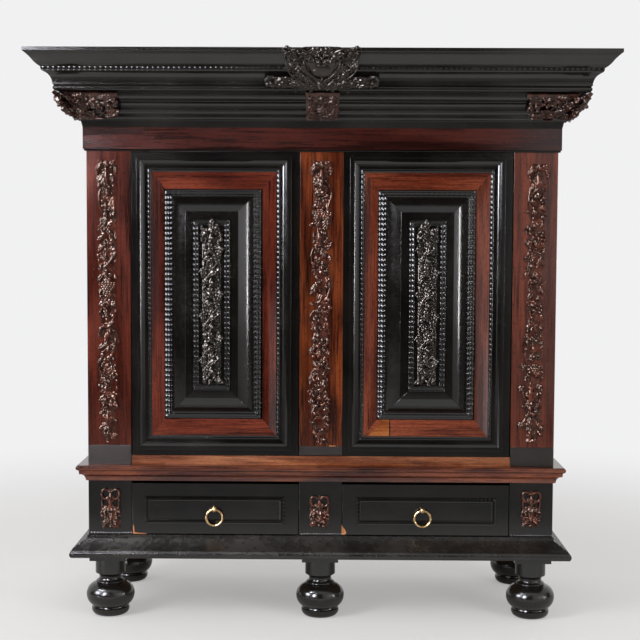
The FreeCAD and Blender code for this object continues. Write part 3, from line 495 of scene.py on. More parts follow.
def sawn_veneer(name, along, dark, middle, light, seed, fire=0.5, polish=(0.1, 0.19)):
    """Rosewood sawn into thick veneer, scraped and polished: black growth lines and short dark pores drawn
    out along the grain, over brown that turns to red and orange in flames."""
    material, tree = finish_tree(name)
    place = node(tree, "ShaderNodeTexCoord").outputs["Object"]
    moved = node(tree, "ShaderNodeVectorMath", {0: place, 1: (seed * 1.7, seed * 0.9, seed * 2.3)}).outputs[0]
    streaks, grain = [node(tree, "ShaderNodeMapping", {"Vector": moved, "Scale": [
        share if axis == along else 1.0 for axis in "XYZ"]}).outputs[0] for share in (0.04, 0.1)]
    flames = node(tree, "ShaderNodeTexNoise", {"Vector": streaks, "Scale": 30.0, "Detail": 4.0, "Roughness": 0.6,
                                               "Distortion": 0.9})                                # 33 mm wide
    lines = node(tree, "ShaderNodeTexNoise", {"Vector": streaks, "Scale": 140.0, "Detail": 5.0, "Roughness": 0.7,
                                              "Distortion": 0.4})                                 # 7 mm wide
    pores = node(tree, "ShaderNodeTexNoise", {"Vector": grain, "Scale": 800.0, "Detail": 2.0})    # 1.2 mm wide
    flecks = node(tree, "ShaderNodeTexNoise", {"Vector": grain, "Scale": 300.0, "Detail": 3.0, "Roughness": 0.7})
    drawn = node(tree, "ShaderNodeMapping", {"Vector": moved, "Scale": [
        0.2 if axis == along else 1.0 for axis in "XYZ"]}).outputs[0]
    patches = node(tree, "ShaderNodeTexNoise", {"Vector": drawn, "Scale": 14.0, "Detail": 4.0, "Distortion": 0.3})
    body = node(tree, "ShaderNodeMapRange", {"Value": flames.outputs["Fac"], "From Min": 0.36, "From Max": 0.6})
    colour = node(tree, "ShaderNodeMix", {"Factor": body.outputs[0], 6: linear(dark), 7: linear(middle)},
                  data_type="RGBA").outputs[2]
    both = node(tree, "ShaderNodeMath", {0: patches.outputs["Fac"], 1: lines.outputs["Fac"]}, operation="MULTIPLY")
    glow = node(tree, "ShaderNodeMapRange", {"Value": both.outputs[0], "From Min": 0.2, "From Max": 0.36,
                                             "To Max": fire})
    bright = node(tree, "ShaderNodeMapRange", {"Value": flecks.outputs["Fac"], "From Min": 0.58, "From Max": 0.7,
                                               "To Max": 0.5})
    lit = node(tree, "ShaderNodeMath", {0: glow.outputs[0], 1: bright.outputs[0]}, operation="MAXIMUM")
    colour = node(tree, "ShaderNodeMix", {"Factor": lit.outputs[0], 6: colour, 7: linear(light)},
                  data_type="RGBA").outputs[2]
    black = node(tree, "ShaderNodeMapRange", {"Value": lines.outputs["Fac"], "From Min": 0.34, "From Max": 0.47,
                                              "To Min": 0.5, "To Max": 1.0})
    colour = node(tree, "ShaderNodeMix", {"Factor": 1.0, 6: colour, 7: black.outputs[0]}, data_type="RGBA",
                  blend_type="MULTIPLY").outputs[2]
    pitted = node(tree, "ShaderNodeMapRange", {"Value": pores.outputs["Fac"], "From Min": 0.36, "From Max": 0.48,
                                               "To Min": 0.5, "To Max": 1.0})
    colour = node(tree, "ShaderNodeMix", {"Factor": 1.0, 6: colour, 7: pitted.outputs[0]}, data_type="RGBA",
                  blend_type="MULTIPLY").outputs[2]
    clouded = node(tree, "ShaderNodeMapRange", {"Value": patches.outputs["Fac"], "From Min": 0.36, "From Max": 0.62,
                                                "To Min": 0.74, "To Max": 1.06})
    colour = node(tree, "ShaderNodeMix", {"Factor": 1.0, 6: colour, 7: clouded.outputs[0]}, data_type="RGBA",
                  blend_type="MULTIPLY").outputs[2]
    shine = node(tree, "ShaderNodeMapRange", {"Value": patches.outputs["Fac"], "From Min": 0.35, "From Max": 0.65,
                                              "To Min": polish[0], "To Max": polish[1]})
    bump = node(tree, "ShaderNodeBump", {"Height": pitted.outputs[0], "Strength": 0.3, "Distance": 0.12 * MM})
    shader = node(tree, "ShaderNodeBsdfPrincipled", {"Base Color": colour, "Roughness": shine.outputs[0],
                                                     "IOR": 1.5, "Normal": bump.outputs[0]})
    node(tree, "ShaderNodeOutputMaterial", {"Surface": shader.outputs[0]})
    return material


def carved(name, painted_shade, ground, lit_ridge, polish, varnish="#fff0e4"):
    """Wood carved with gouges and varnished: the hollows are darkened with painted shade, and rubbed patches on the
    unshaded tops of the leaves are paler, as wear and painted highlight together; the polish catches small bright
    lights."""
    material, tree = finish_tree(name)
    place = node(tree, "ShaderNodeTexCoord").outputs["Object"]
    # painted shade: the occlusion of the carving picks out its hollows
    occlusion = node(tree, "ShaderNodeAmbientOcclusion", {"Distance": 9 * MM}, samples=6)
    patches = node(tree, "ShaderNodeTexNoise", {"Vector": place, "Scale": 38.0, "Detail": 4.0})      # 26 mm
    cuts = node(tree, "ShaderNodeTexNoise", {"Vector": place, "Scale": 330.0, "Detail": 3.0})        # 3 mm
    # painted shade: where the occlusion is deep the colour goes to the near-black shade colour, open places keep the
    # ground colour
    unshaded_share = node(tree, "ShaderNodeMapRange", {"Value": occlusion.outputs["AO"], "From Min": 0.4, "From Max": 0.9})
    colour = node(tree, "ShaderNodeMix", {"Factor": unshaded_share.outputs[0], 6: linear(painted_shade), 7: linear(ground)},
                  data_type="RGBA").outputs[2]
    rubbed = node(tree, "ShaderNodeMapRange", {"Value": patches.outputs["Fac"], "From Min": 0.45, "From Max": 0.68,
                                               "To Max": 0.7})
    # rubbed patches are wear, but they show paler only where the tops are out of the painted shade, so this is partly
    # painted highlight
    lit_rubbed_tops = node(tree, "ShaderNodeMath", {0: rubbed.outputs[0], 1: unshaded_share.outputs[0]}, operation="MULTIPLY")
    colour = node(tree, "ShaderNodeMix", {"Factor": lit_rubbed_tops.outputs[0], 6: colour, 7: linear(lit_ridge)},
                  data_type="RGBA").outputs[2]
    shine = node(tree, "ShaderNodeMapRange", {"Value": patches.outputs["Fac"], "From Min": 0.3, "From Max": 0.7,
                                              "To Min": polish[0], "To Max": polish[1]})
    bump = node(tree, "ShaderNodeBump", {"Height": cuts.outputs["Fac"], "Strength": 0.2, "Distance": 0.4 * MM})
    shader = node(tree, "ShaderNodeBsdfPrincipled", {"Base Color": colour, "Roughness": shine.outputs[0], "IOR": 1.5,
                                                     "Specular Tint": linear(varnish), "Normal": bump.outputs[0]})
    node(tree, "ShaderNodeOutputMaterial", {"Surface": shader.outputs[0]})
    return material


def old_oak(name, along, pale, dark):
    """Oak planed by hand and left bare inside: open grain in long dark flecks, browned by age, no shine."""
    material, tree = finish_tree(name)
    place = node(tree, "ShaderNodeTexCoord").outputs["Object"]
    stretch = {"X": (0.06, 1, 1), "Y": (1, 0.06, 1), "Z": (1, 1, 0.06)}[along]
    grain = node(tree, "ShaderNodeMapping", {"Vector": place, "Scale": stretch}).outputs[0]
    years = node(tree, "ShaderNodeTexNoise", {"Vector": grain, "Scale": 60.0, "Detail": 6.0, "Roughness": 0.6,
                                              "Distortion": 0.5})                                 # 17 mm wide
    flecks = node(tree, "ShaderNodeTexNoise", {"Vector": grain, "Scale": 620.0, "Detail": 2.0})   # 1.6 mm wide
    stains = node(tree, "ShaderNodeTexNoise", {"Vector": place, "Scale": 4.0, "Detail": 4.0})
    share = node(tree, "ShaderNodeMapRange", {"Value": years.outputs["Fac"], "From Min": 0.35, "From Max": 0.65})
    colour = node(tree, "ShaderNodeMix", {"Factor": share.outputs[0], 6: linear(dark), 7: linear(pale)},
                  data_type="RGBA").outputs[2]
    aged = node(tree, "ShaderNodeMapRange", {"Value": stains.outputs["Fac"], "From Min": 0.3, "From Max": 0.7,
                                             "To Min": 0.6, "To Max": 1.0})
    colour = node(tree, "ShaderNodeMix", {"Factor": 1.0, 6: colour, 7: aged.outputs[0]}, data_type="RGBA",
                  blend_type="MULTIPLY").outputs[2]
    open_grain = node(tree, "ShaderNodeMapRange", {"Value": flecks.outputs["Fac"], "From Min": 0.36,
                                                   "From Max": 0.5, "To Min": 0.5, "To Max": 1.0})
    colour = node(tree, "ShaderNodeMix", {"Factor": 1.0, 6: colour, 7: open_grain.outputs[0]}, data_type="RGBA",
                  blend_type="MULTIPLY").outputs[2]
    bump = node(tree, "ShaderNodeBump", {"Height": open_grain.outputs[0], "Strength": 0.5, "Distance": 0.3 * MM})
    shader = node(tree, "ShaderNodeBsdfPrincipled", {"Base Color": colour, "Roughness": 0.62,
                                                     "IOR": 1.5, "Normal": bump.outputs[0]})
    node(tree, "ShaderNodeOutputMaterial", {"Surface": shader.outputs[0]})
    return material


def old_metal(name, bright, dull, roughness, spot):
    """Cast or forged metal, filed and long handled: bright where it is rubbed, dull and browned between."""
    material, tree = finish_tree(name)
    place = node(tree, "ShaderNodeTexCoord").outputs["Object"]
    tarnish = node(tree, "ShaderNodeTexNoise", {"Vector": place, "Scale": 1000.0 / spot, "Detail": 5.0})
    share = node(tree, "ShaderNodeMapRange", {"Value": tarnish.outputs["Fac"], "From Min": 0.4, "From Max": 0.65})
    colour = node(tree, "ShaderNodeMix", {"Factor": share.outputs[0], 6: linear(bright), 7: linear(dull)},
                  data_type="RGBA").outputs[2]
    shine = node(tree, "ShaderNodeMapRange", {"Value": tarnish.outputs["Fac"], "From Min": 0.3, "From Max": 0.7,
                                              "To Min": roughness[0], "To Max": roughness[1]})
    bump = node(tree, "ShaderNodeBump", {"Height": tarnish.outputs["Fac"], "Strength": 0.2, "Distance": 0.3 * MM})
    shader = node(tree, "ShaderNodeBsdfPrincipled", {"Base Color": colour, "Roughness": shine.outputs[0],
                                                     "Metallic": 1.0, "Normal": bump.outputs[0]})
    node(tree, "ShaderNodeOutputMaterial", {"Surface": shader.outputs[0]})
    return material


def mix_finishes():
    return {
        "black": ebonised("ebonised_pearwood", "#0a0807", "#13100d", (0.1, 0.19)),
        "black_cornice": ebonised("ebonised_pearwood_cornice", "#13110e", "#1d1a17", (0.12, 0.22)),
        "black_base": ebonised("ebonised_pearwood_base", "#14110e", "#221d18", (0.2, 0.34)),
        "black_worn": ebonised("ebonised_pearwood_dry", "#15110e", "#241c16", (0.28, 0.44)),
        "black_turned": ebonised("ebonised_turned_beech", "#12100e", "#1c1916", (0.14, 0.24)),
        "outer": sawn_veneer("rosewood_outer_pilasters", "Z", "#30110b", "#512016", "#80351f", 1.0, 0.5),
        "outer_right": sawn_veneer("rosewood_right_pilaster", "Z", "#351812", "#5c2c20", "#823d27", 2.0, 0.5),
        "centre": sawn_veneer("rosewood_centre_pilaster", "Z", "#200c06", "#4c1d10", "#8c421b", 3.0, 0.7),
        "frieze": sawn_veneer("rosewood_frieze", "X", "#170806", "#30120f", "#552014", 4.0, 0.5),
        "frieze_side": sawn_veneer("rosewood_frieze_ends", "Y", "#170806", "#30120f", "#552014", 4.5, 0.5),
        "band_upright": sawn_veneer("rosewood_left_band_uprights", "Z", "#300e08", "#521c12", "#82361e", 5.0, 0.5),
        "band_lying": sawn_veneer("rosewood_left_band_crosspieces", "X", "#34100a", "#582115", "#8c3d22", 6.0, 0.6),
        "band_upright_right": sawn_veneer("rosewood_right_band_uprights", "Z", "#3a160e", "#652b1b", "#94492a", 9.0,
                                          0.6),
        "band_lying_right": sawn_veneer("rosewood_right_band_crosspieces", "X", "#401810", "#70301e", "#9c5030",
                                        10.0, 0.6),
        "rail": sawn_veneer("rosewood_sapwood_rail", "X", "#6c3419", "#904c2a", "#b87848", 7.0, 0.6, (0.2, 0.34)),
        "waist": sawn_veneer("rosewood_waist_moulding", "X", "#2e0e08", "#501c10", "#94502e", 8.0, 0.6),
        "waist_side": sawn_veneer("rosewood_waist_ends", "Y", "#2e0e08", "#501c10", "#94502e", 8.5, 0.6),
        # each carved finish: the painted shade of its hollows, the ground, then the paler colour of its rubbed,
        # unshaded tops
        "carved": carved("carved_rosewood", "#040202", "#30130d", "#6b3426", (0.06, 0.13), "#ffe2cc"),
        "carved_brown": carved("carved_rosewood_cornice", "#040202", "#200d0b", "#4a2b24", (0.04, 0.1),
                               "#ffe6d4"),
        "carved_black": carved("carved_ebonised_pearwood", "#030202", "#0c0b09", "#1b1814", (0.06, 0.14)),
        "carved_crest": carved("carved_ebonised_crest", "#040303", "#13110f", "#26221f", (0.1, 0.19)),
        "band_patch": sawn_veneer("rosewood_band_patch", "X", "#7a3616", "#a85a2a", "#cf8848", 11.0, 0.7),
        "bare": old_oak("bare_pearwood", "Z", "#e08a3e", "#a85a22"),
        "oak_x": old_oak("oak_boards_lying", "X", "#a07a50", "#6e4f32"),
        "oak_y": old_oak("oak_boards_deep", "Y", "#a07a50", "#6e4f32"),
        "oak_z": old_oak("oak_boards_upright", "Z", "#94714c", "#66492f"),
        "brass": old_metal("cast_brass", "#cdb084", "#8d6f45", (0.2, 0.38), 6.0),
        "iron": old_metal("forged_iron", "#6a6560", "#3a332e", (0.4, 0.65), 9.0)}


# ---------------------------------------------------------------- mouldings and boards

BASE = [(-20, 0), (52, 0), ((57, 13), (49, 26)), ((25, 41), (5, 57)), (4, 70), (-20, 70)]
WAIST = [(-20, 0), (6, 0), (8, 4), ((13, 17), (27, 24)), (28, 36), (31, 38), ((37, 46.5), (31, 55)), (-20, 55)]
FRIEZE = [(-4, 0), (10, 0), (10, 72), (-4, 72)]
FRIEZE_BEAD = [(-2, 0), (3, 0), ((7, 3), (4, 6)), (-2, 6)]
CORNICE = [
    (-20, 0), (10, 0), (15, 21), (17, 24), ((24, 30), (26, 40)), (27, 45), (31, 50),
    ((36, 55), (31, 60)), (32, 63), ((38, 75), (51, 82)), (53, 84), ((68, 92), (74, 108)),
    (75, 111), (85, 113), ((92, 121), (88, 130)), (93, 133), ((97, 153), (113, 171)),
    (120, 174), (124, 186), (128, 188), ((137, 194.5), (146, 204)), ((157, 217), (172, 230)),
    (174, 232), (174, 243), (95, 243), (95, 190), (-20, 66)]
CORNICE_RIPPLE = [(118, 173, 0, 0), (120, 174, 0.6, -0.4), (121.5, 178, 1.8, -0.8), (123, 182.5, 1.8, -0.8),
                  (124, 186, 0.6, -0.4), (122, 187, 0, 0), (116, 180, 0, 0)]
SIDE_RIPPLE = [(50, 24, 0, 0), (46.5, 28.5, 1.6, 1.6), (36, 34, 2.4, 2.8), (25, 42, 2.4, 2.8), (14, 50, 2, 2),
               (6, 57, 0, 0), (0, 50, 0, 0), (30, 30, 0, 0)]
FOOT_BEAD = [(-1, 290, 0, 0), (0.6, 290.5, 0.4, 0), (1.2, 292.5, 2, 0), (1.2, 296, 2, 0), (0.6, 298.5, 0.4, 0),
             (-1, 299, 0, 0)]
DOOR_PLAIN = [(0, -3), (0, 13.4), ((0.5, 14.5), (1.6, 15)), (11.6, 15), (12.4, 14.2), ((21.8, 7.4), (37, 4.4)), (37, -3)]
DOOR_BEAD = [(36.4, -3, 0, 0), (36.4, 3.4, 0, 0), (38, 5.2, 0, 0), (40, 6.4, 0, 0.8), (42.6, 6.4, 0, 2),
             (45.6, 5.4, 0, 2.4), (48.2, 3.8, 0, 1.6), (50, 3, 0, 0), (50, -3, 0, 0)]
CUSHION_RIPPLE = [(0, -6, 0, 0), (0, 5.6, 0, 0), (2.4, 8, 0, 2.2), (6.2, 10.2, 0, 2.6), (9.6, 10.8, 0, 1.2),
                  (11.4, 11, 0, 0.8), (14, 13, 0, 2.8), (18, 14, 0, 2.8), (20.4, 13.4, 0, 0), (22.4, 14.2, 0, 1.2),
                  (25.2, 15.4, 0, 1.2), (27, 15, 0, 0), (27, -6, 0, 0)]
CUSHION = [(26.5, -6), (26.5, 16.4), ((49.6, 37.6), (77, 53)), (100.4, 53.6), ((101.5, 53.2), (102, 51.6)), (102, -6)]
FIELD_RIPPLE = [(0, -2, 0, 0), (0, 3, 0, 0), (2.6, 4.6, 0, 2), (6.6, 4.6, 0, 2), (9, 2.6, 0, 0), (11, 2.4, 0, 0),
                (13.6, 3.6, 0, 1.8), (17.4, 3.4, 0, 1.8), (20, 1.6, 0, 0), (21, -2, 0, 0)]
DRAWER_RIPPLE = [(0, -2, 0, 0), (0, 2.4, 0, 0), (1.2, 4.4, 0, 1.4), (6.4, 4.8, 0, 1.8), (8.8, 1.2, 0, 0),
                 (10.6, 1.2, 0, 0), (12.4, 3.2, 0, 1.4), (15.6, 3, 0, 1.4), (17.4, 1.6, 0, 0), (18, -2, 0, 0)]
SIDE_FRAME = [(0, -2), (0, 6), (4, 10), ((12, 11), (16, 6)), (26, 3), (30, 0.4), (30, -2)]


def carcass_pieces(look):
    """The boards and mouldings of the case."""
    black, worn = look["black"], look["black_worn"]
    for side in ("left", "right"):
        low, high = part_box("pilaster_" + side)
        finish = look["outer"] if side == "left" else look["outer_right"]
        fitted(board("pilaster_" + side + "_board", low, high), "carcass", ["pilaster_" + side], "rosewood", finish)
    low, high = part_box("pilaster_plinths")
    opening = -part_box("pilaster_left")[1].x
    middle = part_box("pilaster_centre")[1].x
    for name, x0, x1 in (("plinth_left", low.x, -opening), ("plinth_right", opening, high.x)):
        fitted(board(name, (x0, low.y, low.z), (x1, high.y, high.z)), "carcass", ["pilaster_plinths"],
               "ebonised", worn)
    low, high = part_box("base_posts")
    for name, x0, x1 in (("post_left", low.x, -opening), ("post_centre", -middle, middle),
                         ("post_right", opening, high.x)):
        fitted(board(name, (x0, low.y, low.z), (x1, high.y, high.z)), "carcass", ["base_posts"], "ebonised", black)
    bead = ripple("post_bead_left", FOOT_BEAD, on_case, HALF - opening, (False, False), 10.5)
    others = [copied(bead, "post_bead_right"), copied(bead, "post_bead_centre")]
    for piece, x in ((bead, -HALF), (others[0], opening), (others[1], -middle)):
        laid(piece, (x, FACE_Y, 0))
        fitted(piece, "carcass", ["base_posts"], "ebonised", black)

    base = look["black_base"]
    runs = [("base_moulding", BASE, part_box("base_moulding")[0].z, "ebonised", base, base),
            ("waist_moulding", WAIST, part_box("waist_moulding")[0].z, "rosewood", look["waist"], look["waist_side"]),
            ("frieze", FRIEZE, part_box("frieze")[0].z, "rosewood", look["frieze"], look["frieze_side"]),
            ("frieze_mouldings", FRIEZE_BEAD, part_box("frieze_mouldings")[0].z, "ebonised", black, black),
            ("cornice", CORNICE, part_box("cornice")[0].z, "ebonised", look["black_cornice"], look["black_cornice"])]
    for name, profile, z, slot, front, ends in runs:
        lengths = case_lengths(name, lambda part, length, cut: moulding(part, profile, on_case, length, cut), z)
        for piece, finish in zip(lengths, (front, ends, ends)):
            fitted(piece, "carcass", [name], slot, finish)
    for piece in case_lengths("cornice_ripple", lambda part, length, cut: ripple(
            part, CORNICE_RIPPLE, on_case, length, cut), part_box("cornice")[0].z):
        fitted(piece, "carcass", ["cornice"], "ebonised", look["black_cornice"])
    front, *ends = case_lengths("base_ripple", lambda part, length, cut: ripple(
        part, SIDE_RIPPLE, on_case, length, cut, 13.0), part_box("base_moulding")[0].z)
    bpy.data.objects.remove(front)
    for piece in ends:
        fitted(piece, "carcass", ["base_moulding"], "ebonised", black)
    fitted(softened("front_rails", "lintel_and_rail"), "carcass", ["front_rails"], "rosewood", look["rail"])


def side_pieces(look):
    """The framed sides of the case, each with a raised panel in a mitred moulding."""
    low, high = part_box("side_panels")
    bed = -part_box("case_side_left")[0].x - 8 * MM
    for side, turn in (("left", -math.pi / 2), ("right", math.pi / 2)):
        name = "case_side_" + side
        fitted(softened(name, name + "_boards", 1.5), "carcass", [name], "ebonised", look["black_worn"])
        lengths = frame_lengths("side_frame_" + side, lambda part, length: moulding(part, SIDE_FRAME, on_panel, length),
                                0, high.y - low.y, low.z, high.z, 0)
        inner = 30 * MM
        panel = raised_panel("side_panel_" + side, inner, high.y - low.y - inner, low.z + inner, high.z - inner)
        start = Vector((-bed, high.y, 0)) if side == "left" else Vector((bed, low.y, 0))
        for piece in lengths + [panel]:
            laid(piece, start, "Z", turn)
            fitted(piece, "carcass", ["side_panels"], "ebonised", look["black_worn"])


def raised_panel(name, x0, x1, z0, z1):
    """A fielded panel: a board whose face is inset to a wide bevel and raised."""
    deselect()
    bpy.ops.mesh.primitive_cube_add(size=1, location=((x0 + x1) / 2, 0, (z0 + z1) / 2))
    piece = bpy.context.active_object
    piece.name = piece.data.name = name
    piece.scale = (x1 - x0, 4 * MM, z1 - z0)
    bpy.ops.object.transform_apply(location=True, rotation=True, scale=True)
    bpy.ops.object.mode_set(mode="EDIT")
    mesh = bmesh.from_edit_mesh(piece.data)
    for face in mesh.faces:
        face.select_set(face.normal.y < -0.9)
    bmesh.update_edit_mesh(piece.data)
    bpy.ops.mesh.inset(thickness=44 * MM, depth=5 * MM)
    bpy.ops.mesh.inset(thickness=2 * MM, depth=1.5 * MM)
    return close_up(piece, 10)


def plain_inside(look):
    """The oak boards inside and behind, and the ironwork, with their arrises eased."""
    boards = {"base_board": "oak_x", "base_back_rail": "oak_x", "base_divider": "oak_y", "drawer_runners": "oak_y",
              "cupboard_floor": "oak_x", "back_boards": "oak_z", "shelves": "oak_x", "shelf_battens": "oak_y",
              "top_boards": "oak_x"}
    for name, finish in boards.items():
        fitted(softened(name, name + "_planed", 0.8), "carcass", [name], "oak", look[finish])
    fitted(softened("base_ends", "base_ends_planed", 1.5), "carcass", ["base_ends"], "ebonised", look["black_worn"])
    for name, body in (("lock_case", "door_right"), ("lock_bolt", "lock_bolt"), ("lock_keep", "door_left")):
        fitted(softened(name, name + "_forged", 0.5), body, [name], "iron", look["iron"])


# ---------------------------------------------------------------- doors

DOOR_SHIFT = {"left": (0.0, -3.5 * MM), "right": (-7 * MM, -8.5 * MM)}   # mouldings, and cushion, off the middle


def band_lengths(name, x0, x1, z0, z1, side, end, face, look, tone):
    """The flat rosewood band: four pieces of veneer mitred from corner to corner."""
    thick = 4 * MM
    pieces = []
    for part, length, wide, run in (("bottom", x1 - x0, end, side), ("left", z1 - z0, side, end)):
        piece = board(name + "_" + part, (0, -thick, 0), (length, 2 * MM, wide), 0.5)
        bpy.ops.object.mode_set(mode="EDIT")
        cut_off((0, 0, 0), (-wide, 0, run), 0.3 * MM)
        cut_off((length, 0, 0), (wide, 0, run), 0.3 * MM)
        pieces.append(close_up(piece, 40))
    lying, upright = pieces
    over = copied(lying, name + "_top")
    right = copied(upright, name + "_right")
    return [(laid(lying, (x0, face, z0)), look["band_lying" + tone]),
            (laid(over, (x1, face, z1), "Y", math.pi), look["band_lying" + tone]),
            (laid(upright, (x0, face, z1), "Y", math.pi / 2), look["band_upright" + tone]),
            (laid(right, (x1, face, z0), "Y", -math.pi / 2), look["band_upright" + tone])]


def lying_lift(part, share):
    """The waves of lying lengths are worn down to a share of their height."""
    return share if part.endswith("bottom") else 1.0


def door_pieces(side, look):
    """One door: boards, outer moulding with its ripple bead, band, cushion with its ripples, and the field."""
    body = "door_" + side
    black = look["black"]
    moved, cushion_moved = DOOR_SHIFT[side]
    fitted(softened(body + "_frame", body + "_boards", 1.5), body, [body + "_frame"], "ebonised", black)
    low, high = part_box(body + "_moulding")
    x0, x1, z0, z1 = low.x + moved, high.x + moved, low.z, high.z
    for piece in frame_lengths(body + "_cove", lambda part, length: moulding(part, DOOR_PLAIN, on_panel, length),
                               x0, x1, z0, z1, DOOR_FACE):
        fitted(piece, body, [body + "_moulding"], "ebonised", black)
    for piece in frame_lengths(body + "_bead", lambda part, length: ripple(
            part, DOOR_BEAD, on_panel, length, lift=0.55 * lying_lift(part, 0.55)), x0, x1, z0, z1, DOOR_FACE):
        fitted(piece, body, [body + "_moulding"], "ebonised", black)
    low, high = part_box(body + "_band")
    inner_low, inner_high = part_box(body + "_cushion")
    for piece, finish in band_lengths(body + "_band", low.x + moved, high.x + moved, low.z, high.z, inner_low.x - low.x,
                                      inner_low.z - low.z, DOOR_FACE, look,
                                      "_right" if side == "right" else ""):
        fitted(piece, body, [body + "_band"], "rosewood", finish)
    x0, x1, z0, z1 = inner_low.x + cushion_moved, inner_high.x + cushion_moved, inner_low.z, inner_high.z
    for piece in frame_lengths(body + "_cushion_ripple", lambda part, length: ripple(
            part, CUSHION_RIPPLE, on_panel, length, lift=lying_lift(part, 0.3)), x0, x1, z0, z1, DOOR_FACE):
        fitted(piece, body, [body + "_cushion"], "ebonised", black)
    for piece in frame_lengths(body + "_cushion", lambda part, length: moulding(
            part, CUSHION, on_panel, length, steps=20), x0, x1, z0, z1, DOOR_FACE):
        fitted(piece, body, [body + "_cushion"], "ebonised", black)
    wide, rise = 102 * MM, 54.2 * MM
    field_y = DOOR_FACE - rise
    for piece in frame_lengths(body + "_field_ripple", lambda part, length: ripple(
            part, FIELD_RIPPLE, on_panel, length, lift=0.65 * lying_lift(part, 0.6)), x0 + wide, x1 - wide, z0 + wide, z1 - wide, field_y):
        fitted(piece, body, [body + "_field"], "ebonised", black)
    core = board(body + "_field", (x0 + wide, field_y, z0 + wide), (x1 - wide, DOOR_FACE + 12 * MM, z1 - wide), 0.6)
    fitted(core, body, [body + "_field"], "ebonised", black)
    panel = board(body + "_panel", (x0, DOOR_FACE + 12 * MM, z0), (x1, DOOR_FACE + 24 * MM, z1), 1.5)
    fitted(panel, body, [body + "_field"], "oak", look["oak_z"])


def centre_pieces(look):
    """The pilaster and plinth on the meeting of the doors."""
    low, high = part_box("pilaster_centre")
    fitted(board("pilaster_centre_board", low, high), "door_right", ["pilaster_centre"], "rosewood", look["centre"])
    low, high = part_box("centre_plinth")
    fitted(board("centre_plinth_board", low, high), "door_right", ["centre_plinth"], "ebonised", look["black_worn"])


# ---------------------------------------------------------------- drawers

def drawer_pieces(side, look):
    """A drawer's front with its ripple frame, and its oak box."""
    body = "drawer_" + side
    low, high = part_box(body + "_front")
    fitted(board(body + "_face", (low.x, DRAWER_FACE, low.z), (high.x, high.y, high.z)), body,
           [body + "_front"], "ebonised", look["black"])
    near, far = (42, 46) if side == "left" else (46, 42)
    for piece in frame_lengths(body + "_ripple", lambda part, length: ripple(
            part, DRAWER_RIPPLE, on_panel, length, (True, True), 13.5, 0.45 * lying_lift(part, 0.5)), low.x + near * MM, high.x - far * MM,
            low.z + 34 * MM, high.z - 44 * MM, DRAWER_FACE):
        fitted(piece, body, [body + "_front"], "ebonised", look["black"])
    fitted(softened(body + "_box", body + "_boards", 0.8), body, [body + "_box"], "oak", look["oak_y"])


# ---------------------------------------------------------------- carving

def shaped(name, move):
    """Moves every point of the piece being modelled and keeps the mesh as one of the carver's shapes."""
    piece = bpy.context.active_object
    bpy.ops.object.mode_set(mode="EDIT")
    mesh = bmesh.from_edit_mesh(piece.data)
    for vert in mesh.verts:
        vert.co = move(vert.co)
    bpy.ops.mesh.select_all(action="SELECT")
    bpy.ops.mesh.remove_doubles(threshold=0.0001)
    bpy.ops.mesh.normals_make_consistent(inside=False)
    bpy.ops.object.mode_set(mode="OBJECT")
    kept = piece.data
    kept.name = name
    bpy.data.objects.remove(piece)
    return kept


def berry_shape():
    """A round berry, three fifths of it standing out of the ground."""
    deselect()
    bpy.ops.mesh.primitive_uv_sphere_add(segments=12, ring_count=8, radius=0.5)
    return shaped("berry", lambda co: Vector((co.x, co.y - 0.3, co.z)))


def pod_shape():
    """A pod or bud, drawn to a point, with three seams."""
    deselect()
    bpy.ops.mesh.primitive_uv_sphere_add(segments=16, ring_count=10, radius=0.5)

    def move(co):
        round_it = math.atan2(co.y, co.x)
        pinch = (1 - 0.25 * (co.z + 0.5)) * (1 - 0.1 * abs(math.sin(1.5 * round_it)))
        return Vector((co.x * pinch, co.y * pinch - 0.25, co.z + 0.5))
    return shaped("pod", move)


def leaf_shape(name, lobes, depth):
    """A leaf with a hollow midrib, cupped sides, a lobed edge and a tip that curls forwards."""
    deselect()
    bpy.ops.mesh.primitive_grid_add(x_subdivisions=12, y_subdivisions=16, size=1)

    def move(co):
        across, along = 2 * co.x, co.y + 0.5
        edge = math.sin(math.pi * along ** 0.8) ** 0.7 * 0.5 + 0.04
        edge *= 1 - depth + depth * abs(math.sin(math.pi * lobes * along))
        cup = (1 - abs(across) ** 2.5) * 0.55 - 0.42 * math.exp(-(across / 0.16) ** 2) * (1 - along)
        veins = 0.09 * math.cos(2 * math.pi * (lobes * along - 0.8 * abs(across)))
        curl = 0.35 * math.sin(math.pi * along * 0.9) + 0.3 * along ** 3
        return Vector((across * edge, -(cup + veins + curl) * 0.8, along))
    bpy.ops.object.mode_set(mode="OBJECT")
    sheet = bpy.context.active_object
    bpy.ops.object.mode_set(mode="EDIT")
    for vert in bmesh.from_edit_mesh(sheet.data).verts:
        vert.co = move(vert.co)
    bpy.ops.mesh.select_all(action="SELECT")
    bpy.ops.mesh.extrude_region_move(TRANSFORM_OT_translate={"value": (0, 0.55, 0)})
    bpy.ops.object.mode_set(mode="OBJECT")
    return shaped(name, lambda co: co)


def husk_shape():
    """A bell-shaped husk with six flutes, open end down the string."""
    deselect()
    bpy.ops.mesh.primitive_uv_sphere_add(segments=24, ring_count=12, radius=0.5)

    def move(co):
        along = co.z + 0.5
        size = (0.14 + 0.36 * along ** 1.3) * (1 - max(0.0, along - 0.86) * 4.0)
        around = math.atan2(co.y, co.x)
        flat = math.hypot(co.x, co.y) > 0.001
        reach = size * (1 + 0.2 * math.cos(6 * around)) if flat else 0.0
        return Vector((reach * math.cos(around), reach * math.sin(around) - 0.1, along))
    return shaped("husk", move)


